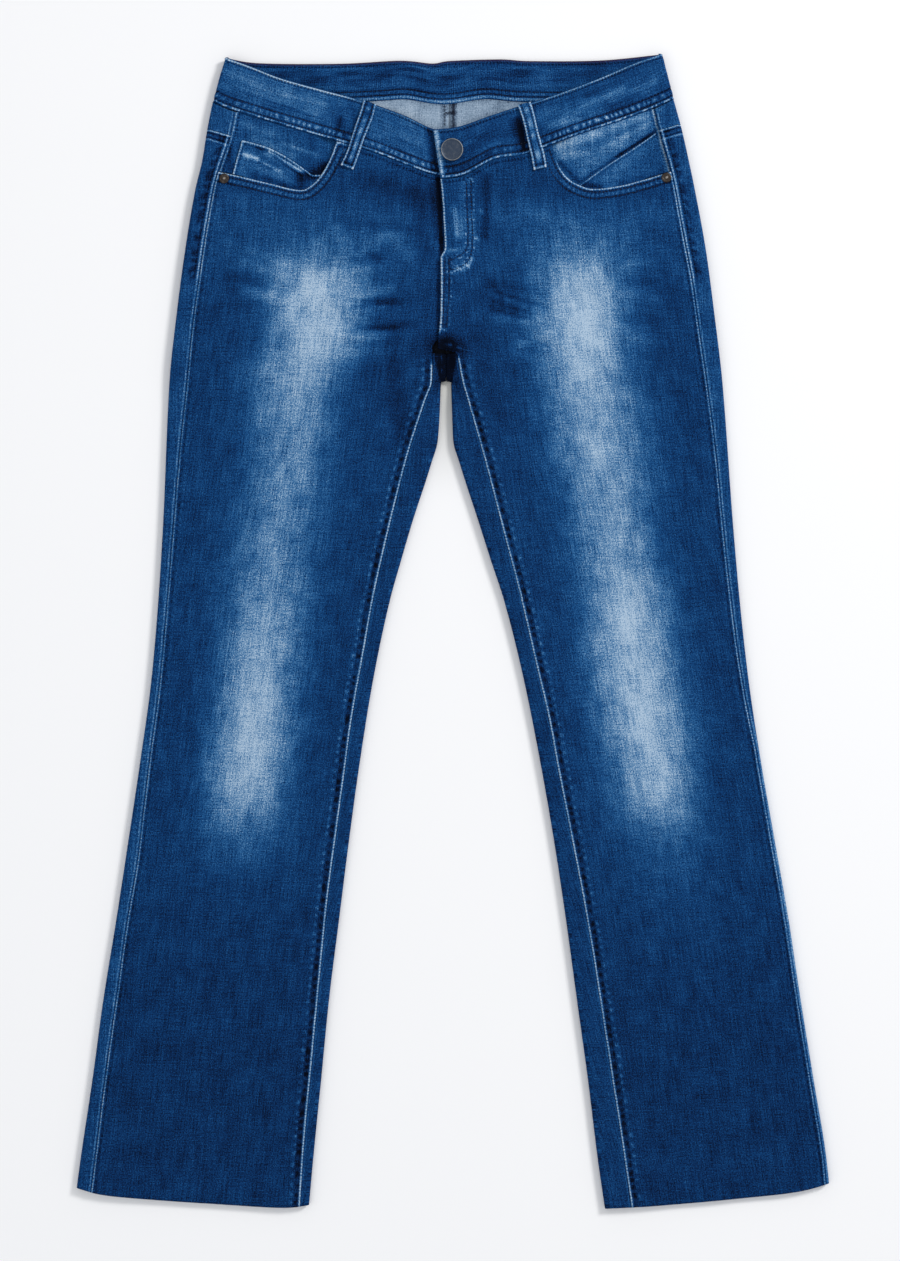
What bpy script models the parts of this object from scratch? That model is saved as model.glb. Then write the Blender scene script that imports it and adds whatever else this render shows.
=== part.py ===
"""Low-rise boot-cut jeans, buttoned and laid flat with the front up.

The wearer's right side is at -X, the waist at +Y, and the surface that the jeans lie on is z = 0.
Each cut piece of denim is an open sheet of points at the middle of its wall, given its thickness
by Solidify. Lengths below are in millimetres; point() turns them into metres.
"""
import math
from bisect import bisect_right

import bmesh
import bpy
from mathutils import Vector

MM = 0.001
MIDDLE = (0.8, 0.2)

# Walls, gaps and levels. A level is the height of the middle of a wall above the surface.
DENIM = 1.2
BAND = 2.2
LOOP = 1.8
GAP = 0.3
BACK_IN_LEG = 0.6
BACK_IN_SEAT = 2.1
SEAT_STARTS, SEAT_ENDS = 190.0, 248.0
FOLD_RADIUS = 2.4
CROTCH_FOLD_RADIUS = 0.9
FRONT_OVER_BACK = 2 * FOLD_RADIUS
FACING_LEVEL = 3.7
LAID_ON = DENIM + GAP + 0.2
BAND_BACK_LEVEL = 2.6
BAND_FRONT_LEVEL = 7.0
BAND_UNDER_LEVEL = 6.2
BAND_LAP_LEVEL = 8.8

# Places along the height
RIVET_ROW = 406.5
TOP_SHIFT_ENDS = 300.0
CROTCH_ROW = 246.0
HEM_SHIFT_STARTS = -468.0
FLY_UNDERLAP = 10.0
POCKET_UNDERLAP = 12.0
BACK_CENTRE_TOP, BACK_CENTRE_CROTCH = -2.7, -5.3
YOKE_CENTRE = 404.0

# Hardware
BUTTON_AT, BUTTON_RADIUS, BUTTON_HEIGHT = (0.0, 425.6), 10.0, 3.0
RIVET_RADIUS, RIVET_HEIGHT = 4.5, 1.6
RIVETS = {"right": (-201.6, 400.6), "left": (189.6, 401.4)}

# Belt loops: middle of the top end and of the bottom end, and the width.
LOOP_WIDTH = 11.0
FRONT_LOOPS = {"right": ((-72.6, 467.6), (-92.9, 410.4)), "left": ((63.7, 466.6), (77.9, 409.4))}
BACK_LOOPS = {"right": (-104.0, -108.0), "centre": (-3.0, -3.0), "left": (98.0, 102.0)}
BACK_LOOP_TOP, BACK_LOOP_BOTTOM = 502.0, 456.0

# Back pockets, hidden under the seat: a row for each level of the right one, measured from the
# back centre seam outwards. The left one mirrors it.
BACK_POCKET = (
    # level, inner edge, outer edge
    (388.0, 34.0, 172.0),
    (330.0, 37.0, 168.0),
    (274.0, 40.0, 164.0),
    (248.0, 96.0, 108.0),
)


class Table:
    """Rows with named columns, read smoothly at any value of the first column."""

    def __init__(self, columns, rows):
        rows = sorted(rows)
        self.keys = [row[0] for row in rows]
        names = columns.split()[1:]
        self.columns = {name: [row[i + 1] for row in rows] for i, name in enumerate(names)}

    def at(self, name, key):
        keys, values = self.keys, self.columns[name]
        key = min(max(key, keys[0]), keys[-1])
        i = min(bisect_right(keys, key), len(keys) - 1) - 1
        step = [b - a for a, b in zip(keys, keys[1:])]
        rise = [(b - a) / s for a, b, s in zip(values, values[1:], step)]

        def tangent(k):
            if k == 0:
                return rise[0]
            if k == len(rise):
                return rise[-1]
            before, after = rise[k - 1], rise[k]
            return 0.0 if before * after <= 0 else 2 * before * after / (before + after)

        t = (key - keys[i]) / step[i]
        a, b = tangent(i) * step[i], tangent(i + 1) * step[i]
        return ((2 * t ** 3 - 3 * t ** 2 + 1) * values[i] + (t ** 3 - 2 * t ** 2 + t) * a
                + (3 * t ** 2 - 2 * t ** 3) * values[i + 1] + (t ** 3 - t ** 2) * b)


class Edge:
    """A smooth line through a few points, read by its share of the length or by x."""

    def __init__(self, points, fine=12):
        points = [Vector(p) for p in points]
        ends = [2 * points[0] - points[1]] + points + [2 * points[-1] - points[-2]]
        self.line = [points[0]]
        for a, b, c, d in zip(ends, ends[1:], ends[2:], ends[3:]):
            for k in range(1, fine + 1):
                t = k / fine
                self.line.append(0.5 * (2 * b + (c - a) * t + (2 * a - 5 * b + 4 * c - d) * t ** 2
                                        + (3 * b - a - 3 * c + d) * t ** 3))
        self.length = [0.0]
        for a, b in zip(self.line, self.line[1:]):
            self.length.append(self.length[-1] + (b - a).length)

    def at(self, share):
        want = min(max(share, 0.0), 1.0) * self.length[-1]
        i = min(bisect_right(self.length, want), len(self.line) - 1) - 1
        t = (want - self.length[i]) / (self.length[i + 1] - self.length[i])
        return self.line[i].lerp(self.line[i + 1], t)

    def across(self, share):
        """The direction square to the line, on its right-hand side."""
        ahead = self.at(share + 0.01) - self.at(share - 0.01)
        return Vector((ahead.y, -ahead.x)).normalized()

    def y_at(self, x):
        line = self.line if self.line[0].x < self.line[-1].x else self.line[::-1]
        i = min(max(bisect_right([p.x for p in line], x), 1), len(line) - 1) - 1
        a, b = line[i], line[i + 1]
        return a.y + (b.y - a.y) * (x - a.x) / (b.x - a.x)


# The side folds, the edges of the flat garment.
SIDE = Table("level right left", (
    (512, -198.9, 184.6), (470, -211.5, 196.5), (444, -216.8, 203.6), (417, -221.2, 209.7),
    (391, -227.4, 215.1), (338, -236.3, 224.8), (285, -243.4, 231.9), (218, -250.5, 239.8),
    (99, -255.8, 248.7), (28, -260.2, 254.9), (-43, -266.4, 262.8), (-114, -276.1, 273.5),
    (-185, -286.7, 285.9), (-255, -297.4, 298.2), (-326, -308.9, 308.9), (-397, -318.6, 320.4),
    (-468, -329.2, 331.9), (-512, -335.0, 336.2)))

# The outseams, where the back wraps round onto the front side.
OUTSEAM = Table("level right left", (
    (480, -186.5, 174.0), (462, -190.7, 178.3), (437, -196.0, 184.7), (412, -204.4, 191.8),
    (395, -209.3, 195.8), (377, -212.8, 199.1), (350, -217.5, 204.0), (312, -223.0, 211.3),
    (270, -228.8, 217.3), (218, -234.0, 225.0), (160, -240.3, 232.5), (88, -246.3, 239.6),
    (5, -253.2, 249.0), (-50, -258.5, 257.2), (-113, -266.8, 269.8), (-160, -272.5, 278.6),
    (-209, -278.5, 287.1), (-255, -286.5, 294.9), (-326, -296.5, 305.6), (-397, -306.5, 317.2),
    (-468, -315.3, 328.7), (-512, -320.8, 333.0)))

# The inner folds of the legs, below the crotch.
INNER = Table("level right left", (
    (222.6, -5.6, -5.0), (217, -9.7, -0.9), (195, -10.8, 0.0), (169, -12.6, 1.1),
    (150, -18.0, 6.5), (134, -23.0, 11.5), (99, -34.5, 23.0), (63, -45.1, 34.5),
    (28, -54.9, 46.0), (-43, -69.9, 63.7), (-114, -81.4, 77.9), (-185, -91.2, 90.3),
    (-255, -100.0, 100.9), (-326, -108.9, 110.6), (-397, -115.9, 120.4), (-468, -123.0, 129.2),
    (-512, -127.0, 135.6)))

# The fly edge, then the inseams, where each front ends.
FLY = Table("level x", (
    (402, -10.4), (387, -8.8), (359, -7.1), (339, -6.2), (331, -9.9), (308, -9.7),
    (280, -10.1), (262, -11.8), (251, -12.4)))
INSEAM = Table("level right left", (
    (251, -17.7, 4.0), (222, -18.1, 9.4), (205, -23.9, 14.2), (160, -38.5, 27.1),
    (90, -56.4, 45.5), (32, -69.5, 60.7), (-20, -78.8, 72.7), (-77, -89.0, 85.9),
    (-129, -96.1, 95.6), (-183, -103.4, 106.2), (-235, -110.3, 116.3), (-290, -115.8, 125.7),
    (-372, -123.6, 138.4), (-453, -131.2, 151.0), (-512, -135.2, 159.6)))

HEM = {
    "right": Edge(((-337, -492.0), (-311, -498.7), (-267, -503.1), (-214, -506.7),
                   (-152, -510.2), (-125, -507.5))),
    "left": Edge(((134, -511.1), (184, -508.4), (255, -502.2), (308, -496.0), (338, -488.0))),
}

# The waistband's two edges on each run, from the front centre or from the right side.
BAND_EDGES = {
    "front right top": Edge(((6, 441.5), (-17.7, 445.2), (-43.4, 457.1), (-81.4, 470.4),
                             (-116.8, 480.1), (-151.3, 489.8), (-178.8, 500.5), (-200.0, 508.0))),
    "front right bottom": Edge(((8, 403.5), (-18.6, 404.9), (-63.7, 421.7), (-92.9, 431.0),
                                (-139.8, 444.6), (-191.2, 460.2), (-210.6, 467.7))),
    "front left top": Edge(((-16.8, 443.8), (6.2, 446.5), (33.6, 456.2), (60.2, 465.1),
                            (90.3, 474.8), (130.1, 489.8), (159.3, 502.3), (185.0, 511.2))),
    "front left bottom": Edge(((-10.1, 400.2), (10.6, 403.6), (38.1, 417.7), (66.4, 422.6),
                               (109.7, 438.6), (146.9, 450.9), (171.7, 460.1), (195.6, 470.3))),
    "back top": Edge(((-200.0, 508.0), (-169.9, 503.5), (-99.1, 503.1), (-46.0, 505.8),
                      (-17.7, 503.3), (-1.8, 505.6), (42.5, 507.0), (69.0, 505.5),
                      (131.0, 506.0), (185.0, 511.2))),
    "back bottom": Edge(((-210.6, 467.7), (-116.8, 467.9), (-63.7, 470.2), (-41.0, 471.4),
                         (-18.0, 467.8), (-0.9, 467.4), (30.0, 471.6), (62.0, 469.2),
                         (131.0, 468.9), (195.6, 470.3))),
}

# The curved pocket openings, from the outseam to the waistband.
POCKET_OPENING = {
    "right": ((-206.2, 406.5), (-181.4, 401.0), (-161.1, 396.0), (-135.4, 390.3),
              (-125.7, 393.4), (-116.8, 402.2), (-108.0, 417.3), (-101.8, 432.6)),
    "left": ((193.2, 406.5), (167.3, 398.7), (146.9, 393.7), (124.8, 391.3), (112.4, 394.7),
             (104.4, 399.1), (97.3, 406.7), (92.0, 417.3), (88.0, 430.0)),
}

# Soft folds of the fronts, as low ridges, and a negative height for a trough.
FOLDS = (
    # from x, from y, to x, to y, half width, height
    (22, 262, 118, 318, 9, 0.8),
    (14, 240, 96, 262, 8, -0.6),
    (30, 300, 104, 352, 8, 0.6),
    (-36, 262, -128, 306, 9, 0.8),
    (-30, 240, -104, 258, 8, -0.6),
    (-40, 300, -112, 348, 8, 0.6),
    (150, 150, 196, -40, 13, 0.7),
    (-160, 150, -196, -30, 13, 0.7),
    (190, -90, 236, -290, 15, -0.6),
    (-190, -90, -228, -290, 15, -0.6),
    (205, -330, 262, -480, 14, 0.6),
    (-200, -320, -258, -480, 14, 0.6),
)

# Levels of the rows of points that a front and a back share along their seams.
ROWS = (RIVET_ROW, 391, 366, 334, TOP_SHIFT_ENDS, 276, 258, 251, CROTCH_ROW, 234, 222.6, 217,
        195, 169, 134, 99, 63, 28, -8, -43, -79, -114, -150, -185, -220, -255, -290, -326, -361,
        -397, -432, HEM_SHIFT_STARTS, -512)
BACK_ROWS = (438.5, 422) + ROWS

# Segments across: the wrapped strips, the folds and the part that lies on the surface.
STRIP, FOLD, FLOOR = 2, 4, 7
YOKE_FLOOR = 14
OPENING_COLUMNS, BAND_COLUMNS = 7, 8

COLOURS = {
    "denim": (0.020, 0.065, 0.185), "band": (0.016, 0.048, 0.135), "inside": (0.33, 0.42, 0.53),
    "metal": (0.13, 0.13, 0.14), "rivet": (0.16, 0.12, 0.09),
}


def ease(low, high, value):
    """0 below low, 1 above high and a soft step between."""
    t = min(max((value - low) / (high - low), 0.0), 1.0)
    return t * t * (3 - 2 * t)


def mix(a, b, share):
    return a + (b - a) * share


def point(x, y, z):
    """A place in metres, with the middle of the laid-out garment at the origin."""
    return Vector((x - MIDDLE[0], y - MIDDLE[1], z)) * MM


def sign(side):
    return -1 if side == "right" else 1


def back_level(y):
    return mix(BACK_IN_LEG, BACK_IN_SEAT, ease(SEAT_STARTS, SEAT_ENDS, y))


def back_centre(y):
    return mix(BACK_CENTRE_CROTCH, BACK_CENTRE_TOP, ease(222, 470, y))


def outseam(side, y):
    """The outseam, which stays on top of the side fold where it runs close to it."""
    limit = abs(SIDE.at(side, y)) - DENIM / 2 - FOLD_RADIUS - 0.8
    return sign(side) * min(abs(OUTSEAM.at(side, y)), limit)


def front_end(side, y):
    """Where a front ends at the centre: the fly, or its underlap, and then the inseam."""
    if side == "left":
        return mix(INSEAM.at(side, y) + GAP / 2, FLY.at("x", y), ease(246.5, 250.5, y))
    lapped = FLY.at("x", y) + FLY_UNDERLAP * ease(256, 272, y)
    return mix(INSEAM.at(side, y) - GAP / 2, lapped, ease(251, 262, y))


def folds(x, y):
    """Height of the soft folds at a place on the fronts."""
    total = 0.0
    for x0, y0, x1, y1, width, height in FOLDS:
        along = Vector((x1 - x0, y1 - y0))
        out = Vector((x - x0, y - y0))
        share = out.dot(along) / along.length_squared
        aside = (out - along * share).length
        ends = ease(-0.1, 0.3, share) * (1 - ease(0.7, 1.1, share))
        total += height * ends * math.exp(-(aside / width) ** 2)
    return total


def front_level(side, x, y):
    """Height of a front: on its seams it is level with the back's wrapped strips."""
    outer, inner = outseam(side, y), front_end(side, y)
    share = min(max((x - outer) / (inner - outer), 0.0), 1.0)
    sag = 1.3 * (1 - ease(300, 385, y)) * math.sin(math.pi * share) ** 0.7
    level = back_level(y) + FRONT_OVER_BACK - sag + folds(x, y) * math.sin(math.pi * share) ** 0.5
    if side == "right":
        beside_fly = 1 - ease(0, 28, FLY.at("x", y) - x)
        level -= 1.7 * beside_fly * ease(250, 262, y)
    else:
        level += 0.9 * (1 - ease(0, 30, x - FLY.at("x", y))) * ease(330, 398, y)
    return level


def pocket_opening(side):
    """The opening's line, which ends against the waistband."""
    points = list(POCKET_OPENING[side])
    x = points[-1][0]
    points[-1] = (x, band_seam(side, x))
    return Edge(points)


def band_seam(side, x):
    """Level just below the front waistband's lower edge."""
    return BAND_EDGES[f"front {side} bottom"].y_at(x) - 2 * GAP


def section(side, y, crotch_open, counts):
    """One row of a back piece, from the outseam round the side fold and along the floor.

    Below the crotch it goes on round the inner fold to the inseam. Above it, crotch_open is
    False and the row ends at the back centre seam, with the last points repeated there.
    """
    strip, fold, floor = counts
    low = back_level(y)
    turn = sign(side)
    edge, seam = SIDE.at(side, y) - turn * DENIM / 2, outseam(side, y) + turn * GAP / 2
    start = edge - turn * FOLD_RADIUS
    row = [(mix(seam, start, k / strip), low + FRONT_OVER_BACK) for k in range(strip)]
    for k in range(fold + 1):
        angle = math.pi * k / fold
        row.append((start + turn * FOLD_RADIUS * math.sin(angle),
                    low + FOLD_RADIUS + FOLD_RADIUS * math.cos(angle)))
    if not crotch_open:
        end = back_centre(y) + turn * GAP / 2
        row += [(mix(start, end, k / floor), low) for k in range(1, floor + 1)]
        return row + [row[-1]] * (fold + strip)
    radius = mix(FOLD_RADIUS, CROTCH_FOLD_RADIUS, ease(195, 222, y))
    inner = INNER.at(side, y) + turn * DENIM / 2
    if y >= 222:
        inner = back_centre(y) + turn * (GAP + DENIM) / 2
    seam = INSEAM.at(side, y) - turn * mix(GAP / 2, 1.5 * GAP, ease(195, 222, y))
    end = inner + turn * radius
    row += [(mix(start, end, k / floor), low) for k in range(1, floor)]
    for k in range(fold + 1):
        angle = math.pi * k / fold
        row.append((end - turn * radius * math.sin(angle), low + radius - radius * math.cos(angle)))
    top = low + FRONT_OVER_BACK
    row += [(mix(end, seam, k / strip), mix(low + 2 * radius, top, ease(0, 1, k / strip)))
            for k in range(1, strip + 1)]
    return row


def yoke_seam(side, column, floor=FLOOR):
    """Level of the yoke seam at a column: it drops towards the back centre."""
    side_level = {"right": 443.8, "left": 448.3}[side]
    outseam_level = {"right": 438.5, "left": 443.4}[side]
    if column <= STRIP:
        return mix(outseam_level, side_level, column / STRIP)
    share = max(column - STRIP - FOLD, 0) / floor
    return mix(side_level, YOKE_CENTRE, min(share, 1.0))


def grid_piece(name, columns, rows, place, colour, wall, missing=None):
    """A sheet of columns by rows whose points place(column, row) gives, with a wall."""
    bm = bmesh.new()
    bmesh.ops.create_grid(bm, x_segments=columns, y_segments=rows, size=0.5)
    where = {v: (round((v.co.x + 0.5) * columns), round((0.5 - v.co.y) * rows)) for v in bm.verts}
    if missing:
        gone = [f for f in bm.faces if missing(min(where[v][0] for v in f.verts),
                                               min(where[v][1] for v in f.verts))]
        bmesh.ops.delete(bm, geom=gone, context="FACES")
    for v in bm.verts:
        v.co = place(*where[v])
    bmesh.ops.triangulate(bm, faces=bm.faces)
    mesh = bpy.data.meshes.new(name)
    bm.to_mesh(mesh)
    bm.free()
    piece = add(name, mesh, colour)
    solid = piece.modifiers.new("wall", "SOLIDIFY")
    solid.thickness = wall * MM
    solid.offset = 0
    return piece


def add(name, mesh, colour):
    piece = bpy.data.objects.new(name, mesh)
    garment.objects.link(piece)
    mesh.materials.append(material(name, colour))
    mesh.shade_smooth()
    return piece


def material(name, colour):
    made = bpy.data.materials.new(name)
    made.use_nodes = True
    shader = made.node_tree.nodes["Principled BSDF"]
    metal = colour in ("metal", "rivet")
    shader.inputs["Base Color"].default_value = (*COLOURS[colour], 1)
    shader.inputs["Roughness"].default_value = 0.4 if metal else 0.9
    shader.inputs["Metallic"].default_value = 0.9 if metal else 0.0
    return made


def front(side):
    """A front: its top runs along the pocket opening and then the waistband."""
    opening = pocket_opening(side)
    corner = opening.at(1).x
    columns = OPENING_COLUMNS + BAND_COLUMNS
    turn = sign(side)

    def top_point(column):
        if column <= OPENING_COLUMNS:
            return opening.at(column / OPENING_COLUMNS)
        x = mix(corner, front_end(side, 399.0), (column - OPENING_COLUMNS) / BAND_COLUMNS)
        return Vector((x, band_seam(side, x)))

    def place(column, row):
        top = top_point(column)
        level = ROWS[row]
        high = ease(TOP_SHIFT_ENDS, RIVET_ROW, level)
        y = level + high * (top.y - RIVET_ROW)
        if level <= HEM_SHIFT_STARTS:
            share = column / columns
            x = mix(outseam(side, level), front_end(side, level), share)
            y = HEM[side].y_at(x) if row == len(ROWS) - 1 else level
        outer = outseam(side, y) - turn * GAP / 2
        inner = front_end(side, y)
        top_outer = outseam(side, top.y) - turn * GAP / 2
        at_top = (top.x - top_outer) / (front_end(side, top.y) - top_outer)
        if column in (0, columns):
            at_top = column / columns
        x = mix(outer, inner, mix(column / columns, at_top, high))
        return point(x, y, front_level(side, x, y))

    return grid_piece(f"front_{side}", columns, len(ROWS) - 1, place, "denim", DENIM)


def back(side):
    """A back: it lies on the surface and wraps round both folds to the seams on top."""
    columns = 2 * STRIP + 2 * FOLD + FLOOR
    inner_fold = STRIP + FOLD + FLOOR
    crotch = BACK_ROWS.index(CROTCH_ROW)
    top_level = yoke_seam(side, 0)

    def place(column, row):
        level = BACK_ROWS[row] if row else top_level
        shift = ease(TOP_SHIFT_ENDS, top_level, level) * (yoke_seam(side, column) - top_level)
        y = level + shift - (GAP if row == 0 else 0)
        x, z = section(side, y, row >= crotch, (STRIP, FOLD, FLOOR))[column]
        if row == crotch and column > inner_fold:
            y -= 1.2
        if row == len(BACK_ROWS) - 1:
            y = HEM[side].y_at(x)
            x, z = section(side, y, True, (STRIP, FOLD, FLOOR))[column]
        return point(x, y, z)

    return grid_piece(f"back_{side}", columns, len(BACK_ROWS) - 1, place, "denim", DENIM,
                      missing=lambda column, row: column >= inner_fold and row < crotch)


def yoke(side):
    """A back yoke: between the waistband and the back, it wraps round to the outseam too."""
    counts = (STRIP, FOLD, YOKE_FLOOR)
    across = [x for x, _ in section(side, 466.0, False, counts)]
    on_fold = STRIP + FOLD
    rows = 3

    def high(column):
        if column <= STRIP:
            return band_seam(side, across[column])
        behind = BAND_EDGES["back bottom"].y_at(across[max(column, on_fold)]) - 2 * GAP
        share = min((column - STRIP) / FOLD, 1.0)
        return mix(band_seam(side, across[STRIP]), behind, share)

    def place(column, row):
        y = mix(high(column), yoke_seam(side, column, YOKE_FLOOR) + GAP / 2, row / rows)
        x, z = section(side, y, False, counts)[column]
        return point(x, y, z)

    return grid_piece(f"yoke_{side}", on_fold + YOKE_FLOOR, rows, place, "inside", DENIM)


def facing_point(side, share, depth):
    """A place on the pocket facing: share along it from the outseam, depth below the band."""
    opening = pocket_opening(side)
    turn = sign(side)
    inset = turn * 2 * GAP
    start = outseam(side, 459.0) - inset
    end = opening.at(1).x - turn * 6.0
    high_x = mix(start, end, share)
    high = Vector((high_x, band_seam(side, high_x)))
    low = opening.at(mix(0.009, 0.86, share))
    away = (low - Vector((outseam(side, low.y), low.y))).length
    lap = mix(-3 * GAP, POCKET_UNDERLAP, ease(22, 45, away))
    low = low - turn * lap * opening.across(mix(0.009, 0.86, share))
    place = high.lerp(low, depth)
    straight = mix(start, outseam(side, low.y) - inset, depth)
    place.x += (outseam(side, place.y) - inset - straight) * (1 - share) ** 4
    return place


def facing_level(side, place, depth):
    """Height of the facing: high at the outseam and the band, low under the opening's edge."""
    away = abs(place.x - outseam(side, place.y))
    at_outseam = {"right": 3.0, "left": 1.5}[side] * (1 - ease(0, 20, away))
    end = pocket_opening(side).at(1).x
    room = ease(4, 24, abs(end - place.x) if (end - place.x) * sign(side) < 0 else 0.0)
    at_band = 2.6 * (1 - ease(0.05, 0.55, depth)) * room
    return FACING_LEVEL + max(at_outseam, at_band)


def facing(side):
    columns, rows = 9, 5

    def place(column, row):
        depth = row / rows
        spot = facing_point(side, column / columns, depth)
        return point(spot.x, spot.y, facing_level(side, spot, depth))

    return grid_piece(f"pocket_facing_{side}", columns, rows, place, "denim", DENIM)


def laid_on_facing(name, side, shares, depths, columns, rows):
    """A piece sewn on the facing, made from the facing's points moved up."""

    def place(column, row):
        share = mix(*shares, column / columns)
        depth = mix(mix(*depths, column / columns), 1.0, row / rows)
        spot = facing_point(side, share, depth)
        return point(spot.x, spot.y, facing_level(side, spot, depth) + LAID_ON)

    return grid_piece(name, columns, rows, place, "denim", DENIM)


def band_line(edge):
    """The waistband's edge, top or bottom, as stations from its under end to its lapped end."""
    run = 18
    line = []
    right, left = BAND_EDGES[f"front right {edge}"], BAND_EDGES[f"front left {edge}"]
    behind = BAND_EDGES[f"back {edge}"]
    radius = (BAND_FRONT_LEVEL - BAND_BACK_LEVEL) / 2
    middle = (BAND_FRONT_LEVEL + BAND_BACK_LEVEL) / 2

    def side_fold(corner, turn, over):
        for k in range(FOLD + 1):
            angle = math.pi * (k if over else FOLD - k) / FOLD
            line.append(Vector((corner.x - turn * radius * (1 - math.sin(angle)), corner.y,
                                middle + radius * math.cos(angle))))

    for k in range(run):
        spot = right.at(k / run)
        under = 1 - ease(-45, -14, -abs(min(spot.x, 0))) if spot.x < 0 else 0
        line.append(Vector((spot.x, spot.y, mix(BAND_UNDER_LEVEL, BAND_FRONT_LEVEL, under))))
    side_fold(right.at(1), -1, True)
    for k in range(1, 2 * run):
        spot = behind.at(k / (2 * run))
        line.append(Vector((spot.x, spot.y, BAND_BACK_LEVEL)))
    side_fold(left.at(1), 1, False)
    for k in range(run - 1, -1, -1):
        spot = left.at(k / run)
        lap = 1 - ease(13, 48, spot.x)
        line.append(Vector((spot.x, spot.y, mix(BAND_FRONT_LEVEL, BAND_LAP_LEVEL, lap))))
    return line


def waistband():
    top, bottom = band_line("top"), band_line("bottom")
    across = 3

    def place(column, row):
        return point(*bottom[row].lerp(top[row], column / across))

    return grid_piece("waistband", across, len(top) - 1, place, "band", BAND)


def front_loop(side):
    """A belt loop over the front waistband, from its top edge to below its seam."""
    top, bottom = (Vector(p) for p in FRONT_LOOPS[side])
    along = bottom - top
    square = Vector((-along.y, along.x)).normalized()
    on_band = BAND_FRONT_LEVEL + BAND / 2 + GAP + LOOP / 2
    on_front = BACK_IN_SEAT + FRONT_OVER_BACK + DENIM / 2 + GAP + LOOP / 2 + 0.1
    rows = 9

    def place(column, row):
        share = row / rows
        spot = top + along * share + square * LOOP_WIDTH * (column / 2 - 0.5)
        arch = 1.1 * math.sin(math.pi * min(share / 0.72, 1.0)) ** 0.8
        return point(spot.x, spot.y, mix(on_band + arch, on_front, ease(0.78, 0.98, share)))

    return grid_piece(f"belt_loop_front_{side}", 2, rows, place, "denim", LOOP)


def back_loop(side):
    """A belt loop on the outside of the back waistband, flat under it."""
    high, low = BACK_LOOPS[side]

    def place(column, row):
        x = mix(high, low, row / 2) + LOOP_WIDTH * (column / 2 - 0.5)
        return point(x, mix(BACK_LOOP_TOP, BACK_LOOP_BOTTOM, row / 2), BACK_IN_LEG)

    return grid_piece(f"belt_loop_back_{side}", 2, 2, place, "denim", DENIM)


def back_pocket(side):
    """A patch pocket on the outside of a back, flat under the seat."""
    columns, rows = 6, len(BACK_POCKET) - 1

    def place(column, row):
        level, inner, outer = BACK_POCKET[row]
        x = BACK_CENTRE_TOP + sign(side) * mix(inner, outer, column / columns)
        return point(x, level, BACK_IN_LEG)

    return grid_piece(f"back_pocket_{side}", columns, rows, place, "denim", DENIM)


def turned(name, profile, centre, colour, steps):
    """A round piece: a closed profile of radius and height, turned about its middle."""
    bm = bmesh.new()
    corners = [bm.verts.new(Vector((radius, 0, height)) * MM) for radius, height in profile]
    for a, b in zip(corners, corners[1:]):
        bm.edges.new((a, b))
    mesh = bpy.data.meshes.new(name)
    bm.to_mesh(mesh)
    bm.free()
    piece = add(name, mesh, colour)
    piece.location = point(*centre)
    screw = piece.modifiers.new("turn", "SCREW")
    screw.steps = screw.render_steps = steps
    screw.use_merge_vertices = True
    screw.merge_threshold = 0.00005
    return piece


def button():
    top = BAND_LAP_LEVEL + BAND / 2 + GAP
    rim, tall = BUTTON_RADIUS, BUTTON_HEIGHT
    profile = ((0, tall - 0.5), (rim - 2.4, tall - 0.5), (rim - 1.6, tall), (rim - 0.5, tall - 0.3),
               (rim, tall - 1.1), (rim - 0.5, tall - 1.9), (rim - 3.5, tall - 2.2), (rim - 4.0, 0),
               (0, 0))
    turned("button", profile, (*BUTTON_AT, top), "metal", 32)


def rivet(side):
    x, y = RIVETS[side]
    top = front_level(side, x, y) + DENIM / 2 + GAP + 0.1
    rim, tall = RIVET_RADIUS, RIVET_HEIGHT
    profile = ((0, tall), (1.2, tall - 0.2), (1.8, tall - 0.8), (rim - 1.2, tall - 0.6),
               (rim - 0.3, tall - 1.0), (rim, 0.3), (rim - 0.4, 0), (0, 0))
    turned(f"rivet_{side}", profile, (x, y, top), "rivet", 24)


for old in list(bpy.data.objects):
    bpy.data.objects.remove(old, do_unlink=True)
garment = bpy.data.collections.new("jeans")
bpy.context.scene.collection.children.link(garment)

for wearers_side in ("right", "left"):
    front(wearers_side)
    back(wearers_side)
    yoke(wearers_side)
    facing(wearers_side)
    front_loop(wearers_side)
    back_pocket(wearers_side)
    rivet(wearers_side)
for place_on_back in BACK_LOOPS:
    back_loop(place_on_back)
laid_on_facing("coin_pocket", "right", (0.10, 0.80), (0.42, 0.54), 6, 4)
laid_on_facing("pocket_facing_left_lower", "left", (0.03, 0.86), (0.31, 0.80), 8, 4)
waistband()
button()
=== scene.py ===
"""Looks of a pair of low-rise boot-cut jeans, buttoned and laid flat with the front up.

Lengths are in millimetres until in_metres() turns them into metres. The tables, and the forms that
they give, are the part's own. Each sheet of cloth here has the same form with finer relief, seams,
fades and stitches. The wearer's right side is at -X, the waist at +Y.
"""

import math

import bmesh
import bpy
import numpy as np
from mathutils import Matrix, Vector


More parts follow.
